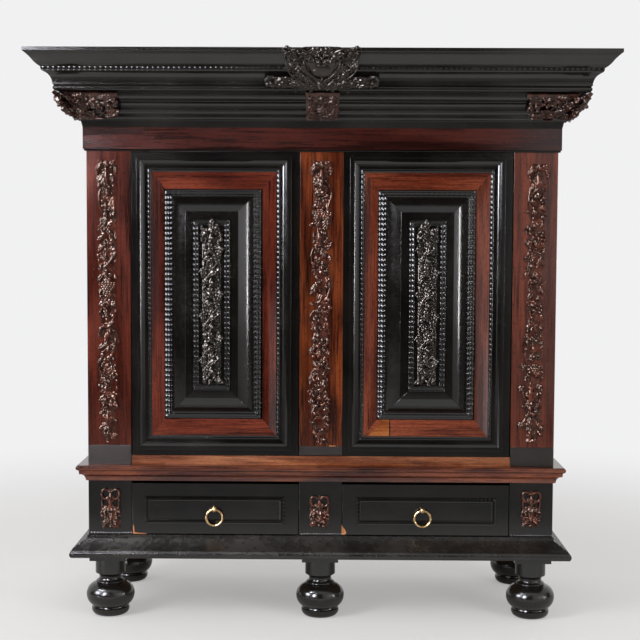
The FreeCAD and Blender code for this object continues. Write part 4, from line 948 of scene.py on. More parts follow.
def tube(name, points, thick, ends=0.5):
    """A stem through points in metres, as thick as it says in the middle, thinner towards both ends."""
    curve = bpy.data.curves.new(name, "CURVE")
    curve.dimensions = "3D"
    curve.bevel_depth = thick / 2
    curve.bevel_resolution = 2
    curve.resolution_u = 4
    curve.use_fill_caps = True
    line = curve.splines.new("NURBS")
    line.points.add(len(points) - 1)
    for i, (point, place) in enumerate(zip(line.points, points)):
        point.co = (*place, 1)
        point.radius = ends + (1 - ends) * math.sin(math.pi * (i + 0.5) / len(points))
    line.order_u = 3
    line.use_endpoint_u = True
    stem = bpy.data.objects.new(name, curve)
    mesh = bpy.data.meshes.new_from_object(stem)
    bpy.data.objects.remove(stem)
    return mesh


def scroll_shape():
    """A volute of one and a half turns that ends in a boss."""
    turns = [(0.42 - 0.03 * i, 0.42 * i) for i in range(14)]
    line = [Vector((size * math.cos(a), -0.35 - 0.02 * i, size * math.sin(a))) for i, (size, a) in enumerate(turns)]
    return tube("scroll", line, 0.2, 0.6)


def carver_shapes():
    """The shapes that the carver repeats, each at unit size: root at the origin, tip up, relief forwards."""
    return {"berry": berry_shape(), "pod": pod_shape(), "leaf": leaf_shape("leaf", 2.5, 0.16),
            "acanthus": leaf_shape("acanthus", 4.5, 0.42), "husk": husk_shape(), "scroll": scroll_shape()}


def seat(x, z, long, wide, angle, rise, back=0.0):
    """Where one shape goes on a flat ground: place, size and direction, in millimetres and degrees."""
    return (Matrix.Translation((x * MM, -back * MM, z * MM)) @ Matrix.Rotation(math.radians(angle), 4, "Y")
            @ Matrix.Diagonal((wide * MM, rise * MM, long * MM, 1)))


def compose(drop):
    """Spells a list of motifs out into single shapes: (shape, seat)."""
    spelt = []

    def add(kind, *where):
        spelt.append((kind, seat(*where)))
    for x, z, long, wide, angle in drop.get("leaf", ()):
        add("leaf", x, z, long * 1.1, wide * 1.35, angle, 12 + wide * 0.3)
    for x, z, long, wide, angle in drop.get("acanthus", ()):
        add("acanthus", x, z, long, wide, angle, 9 + wide * 0.15)
    for x, z, long, wide, angle in drop.get("pod", ()):
        add("pod", x, z, long, wide, angle, wide * 1.1)
    for x, z, size in drop.get("berry", ()):
        add("berry", x, z, size, size, 0, size * 1.1, 2)
    for x, z, size in drop.get("scroll", ()):
        add("scroll", x, z, size, size if x > 0 else -size, 0, size * 0.42, 3)
        add("berry", x, z, size * 0.34, size * 0.34, 0, size * 0.5, 5)
    for x, z, size in drop.get("rosette", ()):
        for i in range(6):
            angle = 60 * i + 3 * x
            reach = size * 0.1
            add("leaf", x + reach * math.sin(math.radians(angle)), z + reach * math.cos(math.radians(angle)),
                size * 0.46, size * 0.4, angle, 9)
        add("berry", x, z, size * 0.34, size * 0.34, 0, size * 0.4, 7)
    for x, z, long, wide, angle in drop.get("husks", ()):
        add("pod", x, z, long, wide * 0.8, angle, wide * 1.15, 2)
        count = max(2, round(long / (wide * 1.1)))
        step = long / count
        lean = math.radians(angle)
        for i in range(count):
            size = wide * (0.95 + 0.35 * (i + 1) / count)
            add("husk", x + step * i * math.sin(lean), z + step * i * math.cos(lean), step * 1.3, size, angle,
                size * 0.95, 4)
    for x, z, wide, high in drop.get("grapes", ()):
        size = 9.5
        rows = round(high / (size * 0.8))
        for row in range(rows):
            reach = wide * (1 - row / rows) ** 0.7
            across = max(1, round(reach / size))
            for i in range(across):
                add("berry", x + (i - (across - 1) / 2) * size, z - row * size * 0.8, size * 1.15, size * 1.15, 0,
                    size * 1.3, 3 + 3 * math.cos(1.2 * (i - (across - 1) / 2)))
    for x, z, wide, high in drop.get("shell", ()):
        for i in range(-3, 4):
            add("pod", x + wide * 0.06 * i, z, high * (1 - 0.03 * i * i), wide * 0.24, 180 - 9.5 * i, 11)
        add("leaf", x, z - 3, wide * 0.3, wide * 0.55, 0, 9)
    for x, z in drop.get("crown", ()):
        for side in (-1, 1):
            spelt.append(("scroll", seat(x + side * 17, z - 4, 34, 34 * side, 0, 15, 3)))
            add("leaf", x + side * 4, z - 6, 34, 24, side * 48, 15)
            add("leaf", x + side * 26, z + 2, 34, 18, side * 168, 13)
            add("berry", x + side * 30, z - 28, 10, 10, 0, 12, 2)
        add("leaf", x, z - 8, 26, 26, 0, 16)
        add("pod", x - 14, z + 4, 30, 19, -140, 22, 4)
        add("berry", x + 3, z + 2, 17, 17, 0, 17, 8)
    return spelt


def fill(seed, x0, x1, z0, z1, count, smallest, largest, rise=9):
    """Small leaves and berries that fill the ground between the motifs."""
    dice = random.Random(seed)
    spelt = []
    for i in range(count):
        x = dice.uniform(x0, x1)
        z = z0 + (z1 - z0) * (i + dice.random()) / count
        size = dice.uniform(smallest, largest)
        angle = dice.uniform(0, 360)
        if not x0 - 3 < x + size * math.sin(math.radians(angle)) < x1 + 3:
            angle = -angle
        kind = dice.choice(("leaf", "leaf", "acanthus", "pod", "berry"))
        if kind == "berry":
            spelt.append((kind, seat(x, z, size * 0.45, size * 0.45, 0, size * 0.6, 1)))
        else:
            wide = size * (0.4 if kind == "pod" else 0.62)
            spelt.append((kind, seat(x, z, size, wide, angle, dice.uniform(0.7, 1.1) * rise)))
    return spelt


def relief(name, groups, voxel, grounds=(), stems=(), edges=()):
    """Carves a relief: shapes, stems and grounds run together into one skin of wood, lightly sanded, and
    sawn off at its edges, each (place, outward)."""
    mesh = bmesh.new()
    for matrix, spelt in groups:
        for kind, place in spelt:
            shape = SHAPES[kind].copy()
            shape.transform(matrix @ place)
            mesh.from_mesh(shape)
            bpy.data.meshes.remove(shape)
    for matrix, points, thick in stems:
        shape = tube("stem", [(x * MM, -8 * MM, z * MM) for x, z in points], thick * MM)
        shape.transform(matrix)
        mesh.from_mesh(shape)
        bpy.data.meshes.remove(shape)
    data = bpy.data.meshes.new(name)
    mesh.to_mesh(data)
    mesh.free()
    deselect()
    piece = bpy.data.objects.new(name, data)
    bpy.context.collection.objects.link(piece)
    if grounds:
        piece = joined(name, [piece] + list(grounds))
    piece.select_set(True)
    bpy.context.view_layer.objects.active = piece
    bpy.ops.object.mode_set(mode="EDIT")
    bpy.ops.mesh.select_all(action="SELECT")
    bpy.ops.mesh.remove_doubles(threshold=0.005 * MM)
    bpy.ops.mesh.normals_make_consistent(inside=False)
    bpy.ops.object.mode_set(mode="OBJECT")
    piece.data.remesh_voxel_size = voxel * MM
    piece.data.remesh_voxel_adaptivity = 0.0
    bpy.ops.object.voxel_remesh()
    bpy.ops.object.mode_set(mode="EDIT")
    for place, outward in edges:
        cut_off(place, outward)
    bpy.ops.object.mode_set(mode="OBJECT")
    sand = piece.modifiers.new("sanded", "SMOOTH")
    sand.factor = 0.5
    sand.iterations = 2
    bpy.ops.object.modifier_apply(modifier="sanded")
    bpy.ops.object.shade_smooth()
    return piece


LEFT_DROP = {
    "crown": [(-5, 1543)],
    "husks": [(-6, 1536, 84, 22, 180), (-8, 1423, 45, 15, 180), (-10, 1291, 32, 14, 180), (-5, 1197, 42,
        13, 180), (-5, 1063, 26, 18, 180), (-3, 989, 61, 16, 180), (-5, 701, 45, 14, 180), (-5, 647, 39, 12,
        180)],
    "leaf": [(-6, 1516, 50, 22, -150), (16, 1417, 42, 15, 176), (-18, 1307, 24, 14, -132), (-18, 1281,
        30, 15, -151), (-15, 943, 26, 14, -133), (5, 776, 29, 16, 142), (10, 753, 30, 15, 139), (-10, 766,
        28, 15, -126), (10, 1272, 28, 13, 145), (-19, 1178, 28, 13, -145), (13, 1181, 26, 14, 138), (-23,
        892, 18, 12, -135)],
    "rosette": [(-5, 1441, 23), (-23, 1359, 19), (19, 1357, 19), (-23, 1333, 29), (-13, 1081, 26), (14,
        840, 32)],
    "scroll": [(15, 1447, 22), (-24, 1206, 19), (-23, 869, 27), (-23, 834, 24), (-10, 814, 21), (-23,
        708, 22)],
    "berry": [(-10, 1347, 12), (1, 1327, 12), (13, 1314, 12), (-34, 1241, 12), (-31, 1225, 12), (-7,
        1243, 12), (8, 1343, 12), (-3, 869, 12), (-13, 651, 12), (-1, 650, 12), (22, 869, 12), (-32, 801,
        12)],
    "pod": [(-18, 914, 22, 21, -163), (26, 824, 16, 14, 180), (27, 800, 16, 14, 180), (-3, 800, 18, 17,
        180)],
    "grapes": [(-3, 1149, 60, 56)],
    "shell": [(-3, 742, 56, 38)],
    "stem": [[(-23, 1468), (-32, 1443), (-29, 1407), (-18, 1381), (-5, 1367)], [(1, 1318), (19, 1297),
        (25, 1272), (16, 1236), (-2, 1210), (-16, 1199)], [(-5, 1082), (16, 1064), (20, 1037), (8, 1005),
        (-5, 998), (-19, 1006), (-29, 1037), (-23, 1068), (-5, 1082)], [(11, 1011), (26, 989), (29, 963),
        (21, 927), (5, 895)], [(-29, 885), (-36, 866), (-29, 847), (-10, 834)]]}
CENTRE_DROP = {
    "crown": [(-3, 1543)],
    "husks": [(-5, 1534, 84, 24, 178), (-5, 1523, 32, 26, 180), (-5, 1494, 39, 28, 180), (-26, 1043, 45, 20, 180), (-13, 879, 52,
        16, 180), (-11, 1323, 44, 24, -178), (-11, 642, 27, 13, 180), (-26, 656, 19, 12, 180), (0, 627, 19,
        12, 180)],
    "leaf": [(-16, 1507, 35, 17, -158), (-16, 1152, 45, 17, -150), (14, 1265, 29, 15, 38), (-29, 937,
        28, 15, -159), (-10, 930, 29, 18, -174), (10, 934, 30, 15, 148), (8, 872, 22, 14, 117), (-24, 860,
        56, 16, -162), (0, 1168, 25, 14, -140), (19, 1249, 25, 12, 157)],
    "rosette": [(-16, 1443, 22), (8, 1436, 19), (-13, 1414, 23), (-19, 1262, 22), (5, 1251, 19), (-19,
        1227, 19), (10, 1069, 41), (-32, 785, 30), (11, 745, 32), (-36, 753, 19)],
    "scroll": [(-23, 1188, 30), (-32, 1079, 24), (-8, 1001, 22), (3, 1217, 22)],
    "berry": [(16, 1194, 13), (3, 1404, 13), (19, 1391, 13), (-27, 1307, 13), (-27, 1288, 13), (16,
        1027, 13), (8, 885, 13), (-10, 805, 13), (-11, 760, 13), (14, 782, 13), (-26, 769, 13)],
    "pod": [(-13, 985, 35, 20, 180), (1, 968, 24, 17, 180), (19, 968, 24, 17, 180), (10, 826, 50, 19,
        -164), (-29, 1323, 45, 9, 180)],
    "grapes": [(-16, 1391, 40, 52), (14, 1388, 40, 50)],
    "shell": [(-11, 693, 46, 44)],
    "stem": [[(10, 1494), (27, 1468), (31, 1452), (24, 1420), (13, 1397)], [(19, 1197), (27, 1168), (29,
        1139), (19, 1110), (11, 1092)], [(-11, 753), (-24, 730), (-36, 705), (-38, 682), (-34, 669)], [(-23,
        1063), (-39, 1047), (-40, 1021), (-29, 995)], [(-29, 1272), (-39, 1249), (-37, 1217), (-26, 1201)]]}
RIGHT_DROP = {
    "crown": [(2, 1536)],
    "husks": [(-2, 1530, 88, 22, 180), (-10, 979, 32, 17, 180), (-10, 947, 39, 18, 180), (-18, 801, 52,
        24, 180), (-18, 695, 35, 22, 180), (-15, 1239, 29, 15, 180), (-18, 660, 39, 20, 180)],
    "leaf": [(-11, 1494, 36, 15, -177), (-37, 1301, 32, 16, 153), (-10, 1297, 25, 15, 153), (-8, 1194,
        29, 16, 153), (-15, 1120, 24, 15, -143), (-42, 811, 25, 15, -153), (-34, 743, 20, 12, 108), (11,
        1417, 24, 14, 143), (8, 814, 27, 14, 147), (11, 1139, 26, 14, 150), (-44, 689, 28, 14, -159), (8,
        689, 27, 14, 163)],
    "rosette": [(14, 1423, 22), (-26, 1333, 35), (14, 1314, 32), (-34, 1239, 26), (-42, 871, 27), (-28,
        1204, 21)],
    "scroll": [(18, 1375, 30), (-18, 1156, 27), (5, 721, 23), (-40, 676, 22), (-34, 1391, 19)],
    "berry": [(-11, 1079, 13), (1, 1072, 13), (16, 1077, 13), (-5, 1060, 13), (11, 1056, 13), (19, 1064,
        13), (1, 1014, 13), (18, 1001, 13), (-24, 843, 13), (11, 850, 13), (-40, 737, 13), (-2, 877, 13),
        (1, 1352, 12), (-8, 1346, 12)],
    "pod": [(-17, 1436, 23, 15, 180), (-10, 1401, 21, 17, 180), (-37, 1193, 24, 18, 180), (-28, 1016,
        23, 17, 180), (-28, 964, 23, 18, 180), (-31, 939, 21, 15, 180)],
    "grapes": [(1, 866, 34, 34)],
    "shell": [(-2, 1247, 34, 28), (-18, 700, 56, 46)],
    "stem": [[(-26, 1468), (-32, 1443), (-31, 1410), (-23, 1378)], [(25, 1275), (18, 1249), (5, 1227),
        (-3, 1206)], [(-32, 1092), (-24, 1056), (-13, 1021), (1, 989), (15, 958)], [(-37, 982), (-42, 950),
        (-40, 911), (-29, 880)], [(-44, 795), (-42, 776), (-34, 760), (-26, 750)], [(11, 801), (18, 772),
        (8, 740), (-2, 718)]]}


def pilaster_drops(look):
    """The long carved drops on the three pilasters."""
    low, high = 606, 1562
    for side, drop, body, x in (("left", LEFT_DROP, "carcass", -717), ("centre", CENTRE_DROP, "door_right", 3),
                                ("right", RIGHT_DROP, "carcass", 724)):
        place = Matrix.Translation((x * MM, FACE_Y, 0))
        strap = board("strap", (-17 * MM, -3 * MM, (low + 30) * MM), (13 * MM, 1.2 * MM, (high - 12) * MM))
        strap.data.transform(place)
        spelt = compose(drop) + fill(side, -30, 26, low + 14, high - 34, 240, 22, 38, 7)
        stems = [(place, points, 7.5) for points in drop["stem"]]
        name = "carving_" + side
        piece = relief(name + "_drop", [(place, spelt)], 1.65, [strap], stems)
        fitted(piece, body, [name], "rosewood_carved", look["carved"])


POST_DROPS = {"left": (-714, 312, 449), "centre": (-3, 320, 429), "right": (716, 325, 449)}
BOW = [(2, -12), (12, -3), (25, -3), (31, -15), (28, -30), (17, -38), (7, -30)]
BOW_TAIL = [(26, -30), (31, -42), (26, -54), (30, -64)]


def post_drops(look):
    """A bow of ribbon with a pendant husk over a bunch of leaves, on each post of the drawer row."""
    for side, (x, low, high) in POST_DROPS.items():
        place = Matrix.Translation((x * MM, FACE_Y, 0))
        bunch = low + 0.5 * (high - low)
        drop = {"husks": [(0, high - 14, 0.42 * (high - low), 22, 180)],
                "rosette": [(0, high - 9, 19), (-19, bunch - 18, 30), (19, bunch - 20, 30)],
                "scroll": [(-18, low + 15, 28), (18, low + 15, 28)],
                "leaf": [(sign * 4, bunch + 8, 36, 17, sign * 128) for sign in (-1, 1)]
                + [(sign * 12, high - 24, 24, 13, sign * 200) for sign in (-1, 1)],
                "acanthus": [(0, bunch, 44, 24, 180), (-6, low + 32, 38, 20, 214), (6, low + 32, 38, 20, 146)],
                "berry": [(0, low + 6, 11), (-28, bunch + 2, 9), (28, bunch + 2, 9), (0, low + 22, 10)]}
        strap = board("strap", (-29 * MM, -2.2 * MM, (low + 3) * MM), (29 * MM, 1 * MM, (bunch + 2) * MM))
        strap.data.transform(place)
        ribbons = [(place, [(sign * across, high + up) for across, up in line], thick)
                   for sign in (-1, 1) for line, thick in ((BOW, 8.5), (BOW_TAIL, 7))]
        spelt = compose(drop) + fill(side, -30, 30, low + 4, bunch + 2, 40, 14, 22, 6)
        piece = relief("post_drop_" + side, [(place, spelt)], 1.1, [strap], ribbons)
        fitted(piece, "carcass", ["post_carvings"], "rosewood_carved", look["carved"])


def field_carving():
    """An upright scroll for a door's field: a waving stem with a volute and a flower in each bend."""
    bend = 74
    low, high = 818, 1334
    drop = {"scroll": [], "rosette": [], "leaf": [], "pod": [], "berry": [], "acanthus": []}
    line = []
    for i in range(7):
        side = -1 if i % 2 else 1
        z = low + 38 + bend * i
        drop["scroll"].append((side * 5, z, 46))
        drop["rosette"].append((side * 5, z, 25))
        drop["acanthus"] += [(-side * 24, z - 16, 46, 24, side * 18), (side * 22, z + 20, 30, 20, -side * 62)]
        drop["leaf"] += [(-side * 12, z + 22, 34, 17, side * 64), (side * 14, z - 24, 30, 15, side * 118),
                         (-side * 24, z + 12, 30, 14, -side * 14), (0, z + 32, 32, 18, side * 8)]
        drop["pod"] += [(-side * 25, z - 22, 22, 11, side * 166), (side * 24, z + 34, 20, 10, -side * 22)]
        drop["berry"] += [(-side * 27, z + 2, 8), (side * 27, z + 8, 8), (-side * 17, z + 32, 8), (side * 26, z - 18, 8)]
        line += [(-side * 21, z - 8), (-side * 20, z + 12), (0, z + 37)]
    drop["crown"] = [(0, high - 14)]
    return drop, [(0, low)] + line[:-1]


def door_fields(look):
    """The carved fields of the doors, the right one the mirror image of the left."""
    drop, line = field_carving()
    spelt = compose(drop) + fill("field", -29, 29, 818, 1338, 210, 11, 19)
    ground = board("ground", (-31 * MM, -2.4 * MM, 814 * MM), (31 * MM, 1 * MM, 1338 * MM))
    left_low, left_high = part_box("door_left_carving")
    right_low, right_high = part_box("door_right_carving")
    carving = relief("door_left_foliage", [(Matrix.Identity(4), spelt)], 1.42, [ground],
                     [(Matrix.Identity(4), line, 5.5)])
    other = copied(carving, "door_right_foliage")
    other.data.transform(Matrix.Diagonal((-1, 1, 1, 1)))
    other.data.flip_normals()
    for piece, low, high, side in ((carving, left_low, left_high, "left"), (other, right_low, right_high, "right")):
        piece.data.transform(Matrix.Translation(((low.x + high.x) / 2 + DOOR_SHIFT[side][1], high.y, 0)))
        fitted(piece, "door_" + side, ["door_" + side + "_carving"], "ebonised", look["carved_black"])


# ---------------------------------------------------------------- carving in the cornice

BLOCK_FOOT = (20, 24)                          # the slope of the blocks: (out, up) where it starts and ends
BLOCK_HEAD = (86, 102)
BLOCK_LEAN = math.atan2(BLOCK_HEAD[0] - BLOCK_FOOT[0], BLOCK_HEAD[1] - BLOCK_FOOT[1])
CORNICE_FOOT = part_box("cornice")[0].z / MM
CORNER_IN = 118                                # how far the corner blocks reach from the case's corner
CUT_BACK = 9 * MM


def on_slope(x, turn=0.0):
    """From the flat of a drawing to the slope of the front, or of a side, of the cornice."""
    lean = Matrix.Rotation(BLOCK_LEAN, 4, "X")
    foot = Matrix.Translation((x * MM, -BLOCK_FOOT[0] * MM, (CORNICE_FOOT + BLOCK_FOOT[1]) * MM))
    if turn == 0.0:
        return Matrix.Translation((0, FACE_Y, 0)) @ foot @ lean
    corner = Matrix.Translation((math.copysign(HALF, turn), FACE_Y, 0))
    return corner @ Matrix.Rotation(turn, 4, "Z") @ foot @ lean


CENTRE_BLOCK = {
    "acanthus": [(0, 6, 54, 34, 0), (-14, 2, 44, 26, -38), (14, 2, 44, 26, 38), (-30, 40, 46, 26, -12),
                 (30, 40, 46, 26, 12), (-20, 94, 40, 24, 150), (20, 94, 40, 24, 210), (-42, 6, 34, 20, -8),
                 (42, 6, 34, 20, 8)],
    "leaf": [(0, 98, 36, 22, 180), (-38, 98, 34, 18, 165), (38, 98, 34, 18, 195), (-44, 58, 34, 16, 178),
             (44, 58, 34, 16, 182)],
    "rosette": [(0, 62, 34)],
    "scroll": [(-32, 30, 26), (32, 30, 26)],
    "berry": [(-42, 88, 11), (42, 88, 11), (-22, 76, 10), (22, 76, 10), (0, 40, 10), (-46, 34, 10), (46, 34, 10),
              (-10, 90, 8), (10, 90, 8)],
}
LEFT_CORNER = {
    "rosette": [(30, 66, 42), (78, 66, 34), (128, 84, 30), (190, 92, 36), (174, 67, 26), (159, 43, 34), (140, 14, 34)],
    "leaf": [(50, 14, 60, 26, -66), (12, 20, 34, 18, 20), (10, 52, 34, 18, -4), (60, 84, 44, 22, 110),
             (104, 42, 44, 22, 40), (96, 20, 48, 24, 74), (136, 56, 44, 24, 38), (52, 40, 34, 20, 40)],
    "acanthus": [(20, 96, 44, 24, 96), (8, 90, 36, 20, 178), (70, 6, 66, 26, 84), (124, 20, 44, 26, 30),
                 (144, 66, 50, 28, 44), (176, 84, 40, 26, 50), (102, 96, 46, 24, 84)],
    "scroll": [(96, 56, 28), (56, 26, 24)],
    "berry": [(54, 52, 12), (60, 64, 10), (112, 66, 13), (116, 52, 11), (100, 88, 12), (88, 84, 10), (146, 84, 12),
              (132, 44, 11), (84, 36, 10), (34, 40, 10), (34, 32, 9), (152, 50, 14), (170, 74, 13), (140, 28, 13),
              (188, 94, 14)],
    "pod": [(14, 8, 30, 14, 60), (46, 4, 30, 12, 92), (110, 6, 34, 14, 88)],
}
RIGHT_CORNER = {
    "rosette": [(32, 68, 46), (120, 68, 34), (188, 92, 34), (173, 64, 28), (157, 40, 30), (141, 13, 30)],
    "leaf": [(48, 44, 56, 24, 118), (92, 20, 40, 20, 40), (12, 30, 36, 18, 8), (64, 88, 40, 20, 100),
             (106, 40, 46, 22, 62), (136, 52, 46, 24, 40), (16, 10, 30, 20, 50)],
    "acanthus": [(26, 6, 64, 28, 62), (82, 98, 48, 24, 160), (112, 8, 52, 26, 66), (10, 96, 40, 22, 140),
                 (146, 66, 50, 28, 44), (174, 84, 40, 26, 50), (100, 98, 44, 22, 96)],
    "scroll": [(84, 34, 30), (86, 70, 26), (20, 22, 22)],
    "berry": [(58, 72, 11), (56, 92, 10), (68, 60, 11), (104, 84, 13), (132, 86, 11), (100, 56, 10), (10, 52, 10),
              (30, 98, 9), (48, 28, 9), (150, 52, 14), (168, 74, 13), (138, 30, 13), (186, 94, 14), (118, 30, 10)],
    "pod": [(128, 14, 28, 14, 60), (60, 2, 34, 13, 92)],
}


def block_ground(side):
    """The plain wedge behind a block's carving; the corner blocks are cut back behind their leaves."""
    ground = copied(NODES["cornice_blocks"], "ground")
    edit = bmesh.new()
    edit.from_mesh(ground.data)
    near = HALF - 200 * MM
    others = [vert for vert in edit.verts if abs(vert.co.x - side * HALF) > 200 * MM and (
        side or abs(vert.co.x) > near)]
    bmesh.ops.delete(edit, geom=others, context="VERTS")
    for vert in edit.verts:
        out = abs(vert.co.x) - HALF
        if side and out > 5 * MM and vert.co.y < FACE_Y - 5 * MM:
            vert.co.x -= side * CUT_BACK
            vert.co.y += CUT_BACK
    edit.to_mesh(ground.data)
    edit.free()
    return ground


def lip(place, x0, x1, slope):
    """The plain border along the top of a block's carving."""
    piece = board("lip", (x0 * MM, -2 * MM, (slope - 12) * MM), (x1 * MM, 10 * MM, (slope + 8) * MM))
    piece.data.transform(place)
    return piece


def cornice_carvings(look):
    """The carved blocks let into the cornice: one in the middle and one round each corner."""
    slope = math.hypot(BLOCK_HEAD[0] - BLOCK_FOOT[0], BLOCK_HEAD[1] - BLOCK_FOOT[1])
    place = on_slope(3)
    spelt = compose(CENTRE_BLOCK) + fill("block", -48, 48, 10, slope - 8, 50, 13, 22, 7)
    low, high = CORNICE_FOOT + BLOCK_FOOT[1] - 1, CORNICE_FOOT + BLOCK_HEAD[1] + 8
    lying = [((0, 0, low * MM), (0, 0, -1)), ((0, 0, high * MM), (0, 0, 1))]
    sides = [(((3 + sign * 56) * MM, 0, 0), (sign, 0, 0)) for sign in (-1, 1)]
    piece = relief("cornice_block_centre", [(place, spelt)], 1.3, [block_ground(0), lip(place, -56, 56, slope)],
                   edges=lying + sides)
    fitted(piece, "carcass", ["cornice_blocks"], "rosewood_carved", look["carved_brown"])
    half = HALF / MM
    for side, drop in ((-1, LEFT_CORNER), (1, RIGHT_CORNER)):
        # the front face is drawn outwards from its inner edge, the side face outwards from its rear edge
        inset = Matrix.Translation((0, 0, 4 * MM)) @ Matrix.Diagonal((side, 1, 0.93, 1))
        front = on_slope(side * (half - CORNER_IN)) @ inset
        rear = on_slope(-side * CORNER_IN, side * math.pi / 2) @ inset
        spelt = compose(drop) + fill(side, 10, 142, 16, slope - 10, 80, 14, 24, 6)
        name = "cornice_block_" + ("left" if side < 0 else "right")
        inner = [((side * (half - CORNER_IN - 1) * MM, 0, 0), (-side, 0, 0)),
                 ((0, FACE_Y + (CORNER_IN + 1) * MM, 0), (0, 1, 0))]
        grounds = [block_ground(side)] + [lip(face, -2, 168, slope) for face in (front, rear)]
        piece = relief(name, [(front, spelt), (rear, spelt)], 1.5, grounds, edges=lying + inner)
        fitted(piece, "carcass", ["cornice_blocks"], "rosewood_carved", look["carved_brown"])


CREST_FOOT = (91, 116.5)                       # the crest leans on these two edges of the cornice: (out, up)
CREST_HEAD = (174, 232)
CREST_LOW = 112
CREST = {
    "acanthus": [(0, 8, 44, 34, 0), (13, 6, 46, 26, 34), (30, 6, 44, 26, 48), (52, 8, 46, 26, 38),
                 (64, 26, 46, 26, 84), (66, 40, 42, 24, 20), (110, 30, 46, 26, 92), (84, 62, 40, 24, -16),
                 (96, 146, 34, 22, 214)],
    "leaf": [(100, 46, 48, 20, 96), (108, 22, 44, 16, 86), (40, 128, 36, 20, 64), (58, 134, 40, 20, 236),
             (106, 118, 36, 18, 186), (20, 124, 28, 16, -150)],
    "rosette": [(165, 37, 44)],
    "scroll": [(116, 143, 27), (44, 34, 26), (80, 40, 24), (34, 146, 24)],
    "berry": [(112, 162, 12), (103, 158, 9), (0, 152, 16), (12, 146, 13), (8, 134, 13), (0, 124, 13), (18, 134, 11),
              (14, 156, 10), (58, 62, 11), (66, 56, 10), (54, 52, 10), (74, 72, 10), (90, 96, 9), (72, 22, 10),
              (100, 80, 9), (62, 92, 9), (24, 28, 11), (106, 102, 9), (0, 30, 12), (140, 40, 9)],
    "pod": [(146, 52, 22, 11, -98), (146, 24, 22, 11, -84), (22, 160, 18, 10, 130)],
}
CREST_BANDS = [([(104, 152), (86, 158), (64, 156), (46, 148), (34, 138)], 8),
               ([(48, 138), (60, 118), (56, 92), (42, 68), (22, 50), (6, 42)], 9),
               ([(124, 140), (114, 120), (116, 98), (110, 78), (96, 60), (82, 50)], 7.5),
               ([(66, 128), (84, 124), (96, 108), (94, 86), (78, 76), (66, 86), (66, 112), (78, 128)], 5.5)]


def shield_shape():
    """A plain cushion in the shape of a heart: two lobes above, a point below."""
    deselect()
    bpy.ops.mesh.primitive_grid_add(x_subdivisions=20, y_subdivisions=24, size=1)

    def move(co):
        across, along = 2 * co.x, co.y + 0.5
        reach = 0.5 * math.sin(math.pi * along ** 0.62) ** 0.62
        top = 0.1 * (abs(across) ** 0.7 - abs(across) ** 2) * along ** 2
        dome = 0.5 * (1 - across ** 2) * math.sin(math.pi * along) ** 0.5
        return Vector((across * reach, -dome, along + top))
    bpy.ops.object.mode_set(mode="EDIT")
    for vert in bmesh.from_edit_mesh(bpy.context.active_object.data).verts:
        vert.co = move(vert.co)
    bpy.ops.mesh.select_all(action="SELECT")
    bpy.ops.mesh.extrude_region_move(TRANSFORM_OT_translate={"value": (0, 0.8, 0)})
    bpy.ops.object.mode_set(mode="OBJECT")
    return shaped("shield", lambda co: co)


def crest(look):
    """The crest: a cartouche with a plain shield among scrolls and leaves, with a wing on each side."""
    lean = math.atan2(CREST_HEAD[0] - CREST_FOOT[0], CREST_HEAD[1] - CREST_FOOT[1])
    out = CREST_FOOT[0] - (CREST_FOOT[1] - CREST_LOW) * math.tan(lean)
    place = (Matrix.Translation((0, FACE_Y - out * MM, (CORNICE_FOOT + CREST_LOW) * MM))
             @ Matrix.Rotation(lean, 4, "X"))
    deselect()
    ground = copied(NODES["crest_ornament"], "ground")
    ground.data.transform(place @ Matrix.Translation((0, 5 * MM, 0)) @ Matrix.Diagonal((1, 0.5, 1, 1))
                          @ place.inverted())
    SHAPES["shield"] = shield_shape()
    spelt = compose(CREST)
    spelt += fill("crest", 24, 98, 10, 60, 46, 11, 18) + fill("crest_arm", 96, 148, 14, 50, 22, 10, 17)
    spelt += fill("crest_top", 40, 108, 120, 154, 20, 10, 15)
    bands = [(place, line, thick) for line, thick in CREST_BANDS]
    mirror = place @ Matrix.Diagonal((-1, 1, 1, 1))
    bands += [(mirror, line, thick) for line, thick in CREST_BANDS]
    shield = [("shield", seat(0, 47, 68, 78, 0, 20))]
    plates = [("shield", seat(80, 84, 40, 40, 8, 9))]
    low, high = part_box("crest_ornament")
    piece = relief("crest_carving", [(place, spelt + shield + plates), (mirror, spelt + plates)], 1.45, [ground],
                   bands, [((0, 0, high.z), (0, 0, 1)), ((0, low.y, 0), (0, -1, 0))])
    fitted(piece, "carcass", ["crest_ornament"], "ebonised", look["carved_crest"])


# ---------------------------------------------------------------- wear

DRAWER_CHIP = [(-638.6, 324), (-636, 321), (-634.4, 306), (-632.2, 297.6), (-622, 295.6), (-606, 295.2),
               (-592, 293.6), (-596, 292.2), (-638.6, 292.2)]
DRAWER_SPLINTER = [(62.6, 368), (66, 366), (68.6, 344), (74, 324), (84, 312), (89, 302), (88, 296), (79, 292.4),
                   (71, 292.4), (74, 304), (69, 312), (62.6, 316)]
PLINTH_CHIP = [(28, 598.4), (33, 597), (44, 597.4), (50.6, 595.6), (50.6, 600.4), (28, 600.4)]


def sliver(name, outline, face, proud, body, node_name, finish):
    """A break in the black veneer that bares the wood: an irregular flake just proud of the face."""
    piece = draw_line(name, [Vector((x * MM, face - proud * MM, z * MM)) for x, z in outline])
    bpy.ops.mesh.extrude_region_move(TRANSFORM_OT_translate={"value": (0, (proud + 1) * MM, 0)})
    bpy.ops.mesh.select_all(action="SELECT")
    return fitted(close_up(piece), body, [node_name], "rosewood", finish)


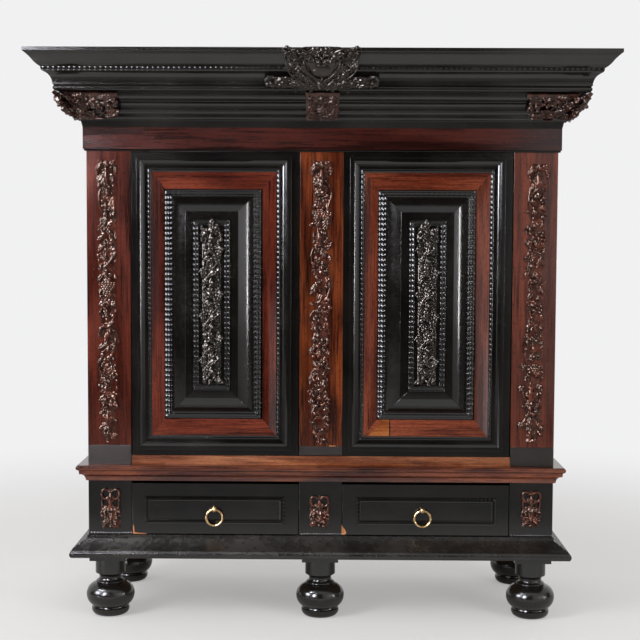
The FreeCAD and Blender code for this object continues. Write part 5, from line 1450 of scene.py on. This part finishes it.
def worn_places(look):
    """Old damage: two breaks in the drawer fronts, one in the plinth, and a piece let into a door's band."""
    bare = look["bare"]
    sliver("drawer_left_break", DRAWER_CHIP, DRAWER_FACE, 0.35, "drawer_left", "drawer_left_front", bare)
    sliver("drawer_right_break", DRAWER_SPLINTER, DRAWER_FACE, 0.35, "drawer_right", "drawer_right_front", bare)
    sliver("centre_plinth_break", PLINTH_CHIP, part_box("centre_plinth")[0].y, 0.35, "door_right", "centre_plinth", bare)
    low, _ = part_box("door_right_band")
    inner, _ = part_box("door_right_cushion")
    x0 = (low.x + DOOR_SHIFT["right"][0]) / MM
    foot, rise = low.z / MM, (inner.z - low.z) / MM
    joint = 232
    patch = [(x0 + 16, foot + 0.6), (joint, foot + 0.6), (joint, foot + rise - 0.4), (x0 + rise + 6, foot + rise - 0.4)]
    face = DOOR_FACE - 4 * MM
    sliver("door_right_band_patch", patch, face, 0.2, "door_right", "door_right_band", look["band_patch"])
    crack = [(joint, foot + 1), (joint + 3, foot + 1), (joint + 4.4, foot + rise * 0.5), (joint + 2.6, foot + rise - 1),
             (joint, foot + rise - 1)]
    sliver("door_right_band_crack", crack, face, 0.3, "door_right", "door_right_band", look["black"])


# ---------------------------------------------------------------- assembly

def dress_frame(look):
    """Finishes on the parts of the frame that stay as they are."""
    finishes = {"ebonised": look["black_turned"], "rosewood": look["outer"], "rosewood_carved": look["carved"],
                "oak": look["oak_x"], "brass": look["brass"], "iron": look["iron"]}
    for part in frame["record"]["subparts"]:
        kept = NODES[part["node"]]
        kept.data.materials.clear()
        kept.data.materials.append(finishes[part["material_slot"]])


set_camera()
studio()
set_stage()
finishes = mix_finishes()
dress_frame(finishes)
carcass_pieces(finishes)
side_pieces(finishes)
plain_inside(finishes)
for door_side in ("left", "right"):
    door_pieces(door_side, finishes)
    drawer_pieces(door_side, finishes)
centre_pieces(finishes)
SHAPES = carver_shapes()
pilaster_drops(finishes)
post_drops(finishes)
door_fields(finishes)
cornice_carvings(finishes)
crest(finishes)
worn_places(finishes)

deselect()
